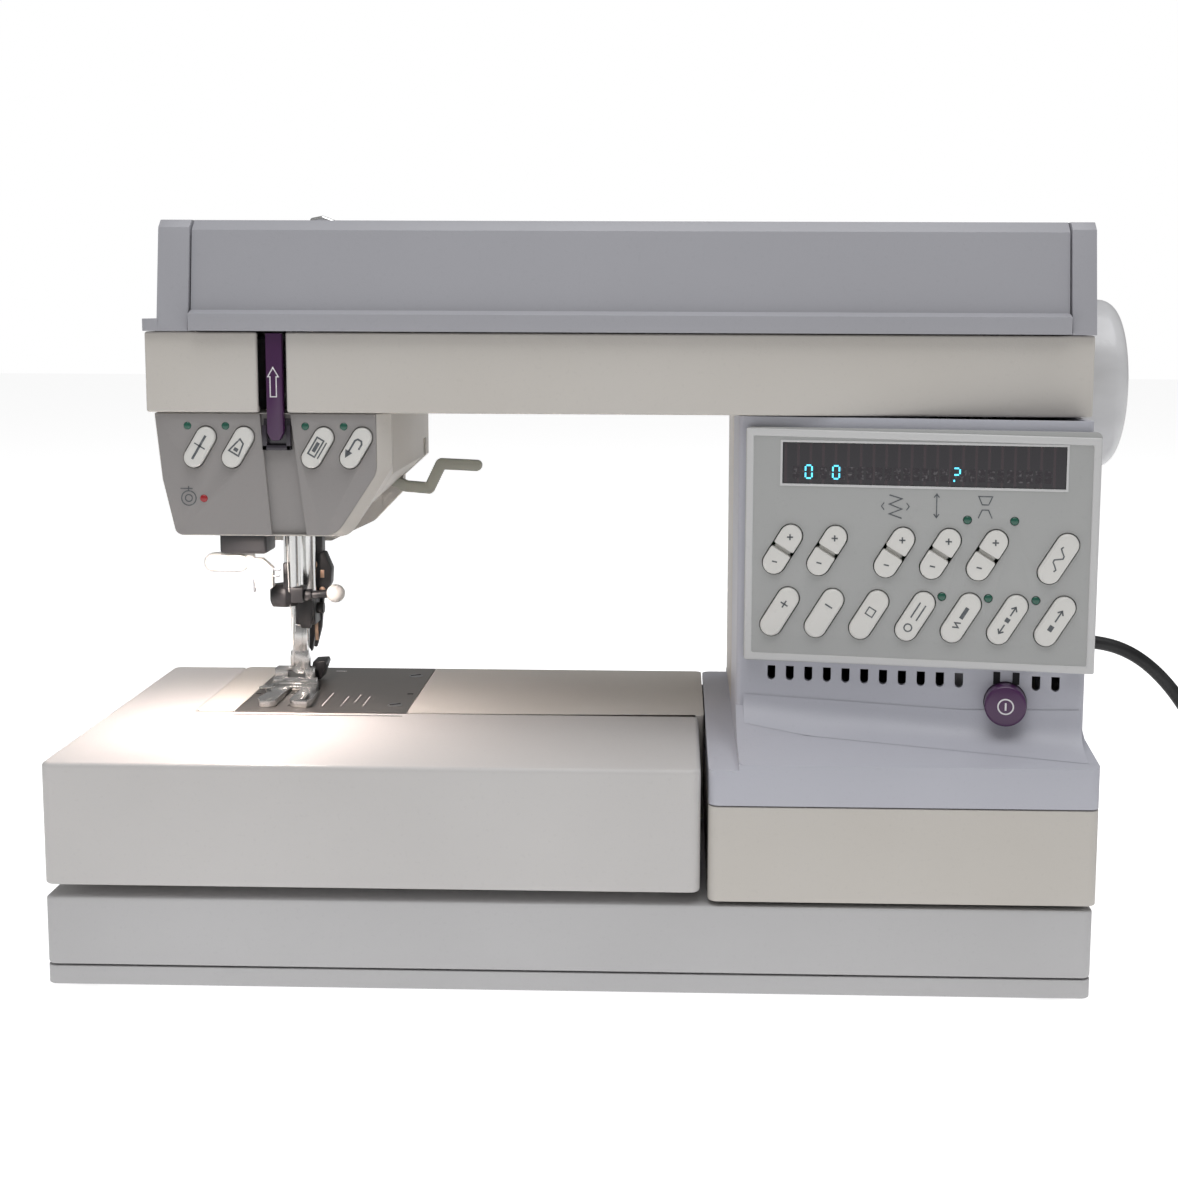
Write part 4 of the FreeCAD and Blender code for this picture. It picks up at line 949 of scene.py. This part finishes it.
def makeDualFeed():
    def body(bm):
        addBlock(bm, (-127.4, 56.6, 148.5), (-121.2, 63.6, 172.0))
        addPrism(bm, [(-127.6, 150), (-120.2, 150.8), (-117.0, 143.2), (-117.4, 136.4), (-120.8, 130.0),
                      (-128.2, 129.4),
                      (-131.4, 138.0)], 56.0, 62.6, mm)
        addPrism(bm, [(-122.6, 131.0), (-120.8, 131.0), (-122.2, 115.4), (-124.6, 106.2), (-126.0, 106.6),
                      (-124.2, 115.6)], 56.6, 59.4, mm)
        addPrism(bm, [(-128.0, 127.4), (-124.6, 127.8), (-125.6, 112.0), (-127.2, 103.8), (-128.4, 106.0)],
                 57.2, 61.6, mm)
        addPrism(bm, [(-126.2, 99.8), (-120.6, 100.2), (-120.0, 98.6), (-122.6, 91.4), (-127.8, 90.6)], 54.6,
                 66.0, mm)
    solid("dualFeedArm", body, "black_plastic", "dual_feed", None, 0.4, ("dual_feed",))

    def spring(bm):
        addBlock(bm, (-125.2, 55.9, 109.6), (-123.7, 57.0, 119.4))
        addBlock(bm, (-122.2, 55.6, 139.0), (-120.4, 56.2, 142.6))
        addRod(bm, (-125.4, 55.2, 145.2), (-125.4, 57.0, 145.2), 2.0, 14)
        addRod(bm, (-121.4, 55.2, 133.4), (-121.4, 57.0, 133.4), 1.4, 14)
    solid("dualFeedPins", spring, "steel", "dual_feed", "brass", 0.15)


def makeThreader():
    def lever(bm):
        outline = [(-148.4, 152.9), (-140.2, 153.2), (-135.4, 149.0), (-135.6, 139.9), (-143.2, 139.9),
                   (-143.4, 148.6),
                   (-148.4, 148.9)]
        addPrism(bm, outline, 18.8, 23.6, mm)
        addRod(bm, (-155.0, 21, 152), (-155.0, 21, 159), 3.4, 24)
        addRod(bm, (-146, 21, 150), (-146, 21, 190), 2.5, 20)
    solid("threaderArm", lever, "key_white", "threader_lever", None, 0.6, ("threader_lever",))

    def grip(bm):
        outline = pillOutline(19.5, 8.2, leaning(-155.8, 151.3, 90))
        addPrism(bm, outline, 16.4, 24.6, mm)
    solid("threaderGrip", grip, "key_white", "threader_lever", None, 2.2, (), 40, 3)

    def hooks(bm):
        addBlock(bm, (-144.2, 19.4, 138.2), (-143.3, 20.6, 144.2))
        addBlock(bm, (-135.8, 19.4, 147.6), (-132.2, 20.8, 148.7))
        addBlock(bm, (-135.8, 19.4, 144.8), (-132.8, 20.8, 145.8))
    solid("threaderHooks", hooks, "bright_steel", "threader_lever", "steel", 0.1)

    def bush(bm):
        addBlock(bm, (-156.8, 12.0, 156.0), (-136.2, 30.0, 173.4))
    solid("threaderBush", bush, "black_plastic", "machine", None, 1.6, (), 40, 3)


makeNeedleBar()
makePresser()
makeDualFeed()
makeThreader()
print("needle zone made")


# ---- mains lead: route, coil, plug and strain reliefs
leadSet = {"r": 3.1, "coil": (356.0, 40.0), "low": (42.1, 35.9, 29.7), "high": (28.2, 34.4, 40.6),
           "lowAt": 3.4,
           "highAt": 9.4, "perTurn": 18, "start": 48.0, "leave": 176.0, "hull": 1.013,
           "shift": 0.45, "inward": 3.2}
leadRoute = [(226, 70, 110), (239, 70, 110), (256, 70, 104), (271, 70, 91), (284, 71, 73), (295, 73, 53),
             (306, 76.5, 33), (320, 81, 16), (338, 84.5, 5.6), (356, 84, 3.4), (371, 79.5, 3.4)]
leadTail = [(320.6, 60.3, 11.2), (331.5, 71.0, 13.6), (345.0, 75.0, 15.6), (359.0, 71.2, 15.8),
            (369.8, 60.3, 14.8),
            (373.4, 46.3, 13.2), (370.4, 33.2, 13.4), (363.4, 23.6, 14.6), (358.6, 14.2, 15.9),
            (356.5, 5.4, 16.0),
            (356.0, -3.0, 14.4), (356.0, -9.0, 11.8), (356.0, -15.0, 10.4)]


def coilPoints():
    s = leadSet
    cx, cy = s["coil"]
    radii = s["low"] + s["high"]
    levels = [s["lowAt"]] * len(s["low"]) + [s["highAt"]] * len(s["high"])
    last = len(radii) - 1
    total = 360 * last + (s["start"] + 360 - s["leave"])
    steps = int(s["perTurn"] * total / 360)
    out = []
    for i in range(steps + 1):
        done = total * i / steps / 360
        turn = min(int(done), last)
        after = min(turn + 1, last)
        blend = max(0.0, 1 - (1 - (done - turn)) / s["shift"]) if turn < last else 0.0
        blend = blend * blend * (3 - 2 * blend)
        climbing = turn == len(s["low"]) - 1
        inward = s["inward"] * math.sin(math.pi * blend) if climbing else 0.0
        r = (radii[turn] * (1 - blend) + radii[after] * blend - inward) * s["hull"]
        z = levels[turn] * (1 - blend) + levels[after] * blend
        angle = math.radians(s["start"] - 360 * done)
        out.append((cx + r * math.cos(angle), cy + r * math.sin(angle), z))
    return out


def makeLead():
    points = leadRoute + coilPoints() + leadTail
    curve = bpy.data.curves.new("mainsLead", "CURVE")
    curve.dimensions = "3D"
    curve.bevel_depth, curve.bevel_resolution = leadSet["r"] / 1000, 5
    spline = curve.splines.new("NURBS")
    spline.points.add(len(points) - 1)
    for p, at in zip(spline.points, points):
        p.co = (*mm(*at), 1)
    spline.order_u, spline.use_endpoint_u, spline.resolution_u = 3, True, 6
    curve.use_fill_caps = True
    lead = addPiece("mainsLead", curve, "cord", "machine", None, ("mains_cord", "cord_coil"))
    measured = sum((Vector(b) - Vector(a)).length for a, b in zip(points, points[1:])) / 1000
    print("mains lead: points", len(points), "runs added up %.3f m" % measured)
    return lead


def makePlug():
    x = leadSet["coil"][0]

    def body(bm):
        rings = []
        for y, half, tall in ((-44.0, 13.0, 7.5), (-38.0, 13.0, 7.5), (-24.0, 11.8, 7.2), (-16.0, 9.4, 6.6),
                              (-11.0, 6.6, 5.4)):
            corners = [(-half, -tall, 4), (half, -tall, 4), (half, tall, 4), (-half, tall, 4)]
            rings.append((roundedOutline(corners, 4), y))
        addLoft(bm, rings, lambda px, y, pz: mm(x + px, y, 9.0 + pz))
    solid("plugBody", body, "black_plastic", "machine", "rubber", 0.6, ("mains_plug",), 40)

    def boot(bm):
        for y, z, r in ((-14.4, 10.4, 5.2), (-12.0, 11.0, 5.0), (-9.6, 11.8, 4.7), (-7.2, 12.8, 4.4),
                                       (-4.8, 13.7, 4.1), (-2.4, 14.5, 3.8)):
            addRod(bm, (x, y - 0.7, z - 0.25), (x, y + 0.7, z + 0.25), r, 24)
    solid("plugBoot", boot, "black_plastic", "machine", "rubber", 0.3)

    def core(bm):
        addRod(bm, (x, -15.5, 10.0), (x, -1.6, 14.6), 4.3, 24, 3.45)
    solid("plugCore", core, "black_plastic", "machine", "rubber", 0)

    def pin(bm):
        addLathe(bm, [(2.4, 0), (2.4, 17.2), (1.9, 18.6), (0.9, 19.0)], (0, 0, 0), (0, -1, 0), 20, bare)
    spotsOf("plugPins", pin, [(x + s * 9.5, -44.0, 9.0) for s in (-1, 1)], "black_plastic",
            "machine", "steel")


def makeConnector():
    def housing(bm):
        corners = [(-12.5, -8.5, 3), (12.5, -8.5, 3), (12.5, 8.5, 3), (-12.5, 8.5, 3)]
        outline = roundedOutline(corners, 4)
        addLoft(bm, [(outline, 194.2), (outline, 205.6)], lambda y, px, z: mm(px, 70 + y, 110 + z))
    solid("leadConnector", housing, "black_plastic", "machine", None, 0.8, ("cord_connector",),
          40)

    def relief(bm):
        addLathe(bm, [(8.2, 0), (8.0, 2.0), (4.3, 19.4), (3.4, 20.4)], (205.4, 70, 110), (1, 0, 0), 28)
    solid("leadRelief", relief, "black_plastic", "machine", "rubber", 0)
    for i in range(6):
        def rib(bm, at=208.6 + i * 2.7, r=8.0 - i * 0.62):
            addLathe(bm, [(r - 0.9, -0.7), (r, -0.5), (r, 0.5), (r - 0.9, 0.7)], (at, 70, 110), (1, 0, 0), 28)
        solid("reliefRib%d" % (i + 1), rib, "black_plastic", "machine", "rubber", 0)


def makeTie():
    cx, cy = leadSet["coil"]
    angle = math.radians(-22)
    out, along = Vector((math.cos(angle), math.sin(angle))), Vector((-math.sin(angle), math.cos(angle)))

    def place(r, side, z):
        return mm(cx + out.x * r + along.x * side, cy + out.y * r + along.y * side, z)

    def band(bm):
        outer = roundedOutline([(24.6, 0.03, 2.6), (45.8, 0.03, 2.6), (45.8, 13.0, 3.4), (24.6, 13.0, 3.4)],
                               5)
        inner = roundedOutline([(25.1, 0.28, 2.3), (45.3, 0.28, 2.3), (45.3, 12.6, 3.1), (25.1, 12.6, 3.1)],
                               5)
        addLoft(bm, [(outer, -2.5), (outer, 2.5), (inner, 2.5), (inner, -2.5)], place, True)
    solid("coilTie", band, "cord", "machine", "rubber", 0)

    def twist(bm):
        for a, b in (((34.0, -0.8, 13.4), (38.6, -4.8, 15.2)), ((34.0, 0.8, 13.4), (38.4, 4.6, 15.6))):
            addRod(bm, (cx + out.x * a[0] + along.x * a[1], cy + out.y * a[0] + along.y * a[1], a[2]),
                   (cx + out.x * b[0] + along.x * b[1], cy + out.y * b[0] + along.y * b[1], b[2]), 0.8, 10)
        addRod(bm, (cx + out.x * 32.5, cy + out.y * 32.5, 13.4), (cx + out.x * 36, cy + out.y * 36, 13.4),
               1.1, 12)
    solid("tieTwist", twist, "cord", "machine", "rubber", 0)


mainsLead = makeLead()
makePlug()
makeConnector()
makeTie()
tuple(mm(*leadRoute[0]))
print("mains lead made")


# ---- column, needle plate, lid and small trim
def makeColumnTrim():
    turn = panelTurn

    def lean(y):
        return 91.7 + (y + 89.0) * 4.5 / 29.0 if y < -60 else 96.2 + (y + 60.0) * 8.8 / 14.0

    def fillet(bm):
        rows = []
        for i in range(25):
            s = 1.0 + 131.0 * i / 24
            x0 = 68 + s * math.cos(turn)
            face = -50 - s * math.sin(turn) + 3.75
            reach = 5.0 + 9.0 * i / 24
            corner = (face - 0.15, lean(face) + 0.1)
            top, low = (face - 0.15, min(117.0, corner[1] + reach)), (face - reach - 3.0,
                                                                      lean(face - reach - 3.0) + 0.12)
            row = []
            for k in range(9):
                t = k / 8
                y, z = ((1 - t) ** 2 * a + 2 * t * (1 - t) * b + t * t * c for a, b,
                        c in zip(top, corner, low))
                row.append(bm.verts.new(mm(x0, y, z)))
            row.append(bm.verts.new(mm(x0, corner[0] + 0.6, corner[1] - 0.6)))
            rows.append(row)
        for a, b in zip(rows, rows[1:]):
            addSides(bm, a, b)
        bm.faces.new(rows[0])
        bm.faces.new(rows[-1][::-1])
    solid("columnFillet", fillet, "housing_grey", "machine", "column_grey", 0)

    def shelf(bm):
        outline = [(69.0, -45.4), (197.0, -65.6), (199.2, -46.8), (69.0, -43.8)]
        addLoft(bm, [(outline, 213.6), (outline, 216.4)], lying)
    solid("panelShelf", shelf, "housing_grey", "machine", "column_grey", 0.5)

    # the vent openings are flat near-black strips: painted shade standing in for the dark inside the vents
    def slot(bm):
        addBlock(bm, (-1.55, -0.03, -1.6), (1.55, 0.3, 3.2), bare)
    hidden = [panelPoint(11.4 + i * 7.35, 3.86, 119.7) for i in (12, 13)]
    spotsOf("shortVents", slot, hidden, "housing_grey", "machine", "gap_shade")


def under(level):
    return lambda x, depth, y: mm(x, y, level - depth)


def makePlateTrim():
    # painted highlight: a thin strip of brighter steel on the plate's front edge stands in for the light
    # caught on its bevel
    def edge(bm):
        addBlock(bm, (-147.4, -8.7, 89.62), (-74.6, -7.7, 89.80))
    solid("plateFrontEdge", edge, "plate_steel", "machine", "bright_steel", 0)
    top = 89.72
    lines = [([(-104.4, 9.0), (-104.4, 27.0)], 0.35), ([(-99.6, 16.0), (-99.6, 31.0)], 0.35),
             ([(-94.8, 9.0), (-94.8, 27.0)], 0.35), ([(-112.6, 9.0), (-112.6, 34.0)], 0.35)]
    marks("plateLines", lines, under(top), 0.0, "plate_steel", "machine", "ink_light")
    # the two end slots are flat near-black strips: painted shade in place of the open slots
    slots = [([(-147.0, 31.4), (-144.8, 31.4)], 1.4), ([(-79.0, 34.0), (-76.4, 34.0)], 1.4)]
    marks("plateSlots", slots, under(top), -0.01, "plate_steel", "machine", "gap_shade")
    light = [([(-120.6, 80.7), (-115.6, 80.7)], 1.5)]
    marks("plateNotch", light, under(top), -0.01, "plate_steel", "machine", "ink_light")

    def head(bm):
        addLathe(bm, [(3.3, -0.2), (3.3, 0.1), (2.9, 0.35), (0, 0.45)], (0, 0, 0), (0, 0, 1), 28, bare)
    spotsOf("plateScrews", head, [(-81, 12, 89.7), (-81, 72, 89.7)], "steel", "machine")
    # the cross slots in the screw heads are near-black strips: painted shade in their recess
    crosses = [([(x - 2.2, y - 1.2), (x + 2.2, y + 1.2)], 0.8) for x, y in ((-81, 12), (-81, 72))]
    marks("plateScrewSlots", crosses, under(top + 0.45), 0.0, "steel", "machine", "gap_shade", 0.8)


def makeLidTrim():
    def pad(bm):
        outline = roundedOutline([(-126.0, 20.0, 3), (-98.0, 20.0, 3), (-98.0, 44.0, 3), (-126.0, 44.0, 3)])
        addLoft(bm, [(outline, 296.2), (outline, 297.1)], lying)
    solid("lidPad", pad, "housing_grey", "lid", None, 0.3)

    def guide(bm):
        path = [(-118.0, 32, 296.8), (-117.6, 32, 300.2), (-113.0, 31, 301.0), (-108.6, 31, 299.4),
                (-107.0, 32, 296.8)]
        for a, b in zip(path, path[1:]):
            addRod(bm, a, b, 1.15, 14)
        for p in path[1:-1]:
            addLathe(bm,
                     [(1.15 * math.sin(math.pi * i / 8),
                       1.15 * -math.cos(math.pi * i / 8)) for i in range(9)],
                     p, (0, 0, 1), 14)
    solid("lidThreadGuide", guide, "bright_steel", "lid", None, 0)


def makeFeet():
    def pad(bm):
        addLathe(bm, [(8.8, 0.05), (9.0, 0.6), (8.6, 2.0), (0, 2.1)], (0, 0, 0), (0, 0, 1), 32, bare)
        for r in (6.6, 4.2):
            addLathe(bm, [(r, 0.02), (r - 0.8, 0.02), (r - 0.8, 0.4), (r, 0.4)], (0, 0, 0), (0, 0, 1), 32,
                     bare)
    places = [(x, y, 0) for x in (-186.0, 186.0) for y in (-74.0, 74.0)]
    spotsOf("rubberPads", pad, places, "rubber", "machine", None, 0)


makeColumnTrim()
makePlateTrim()
makeLidTrim()
makeFeet()
print("trim made")
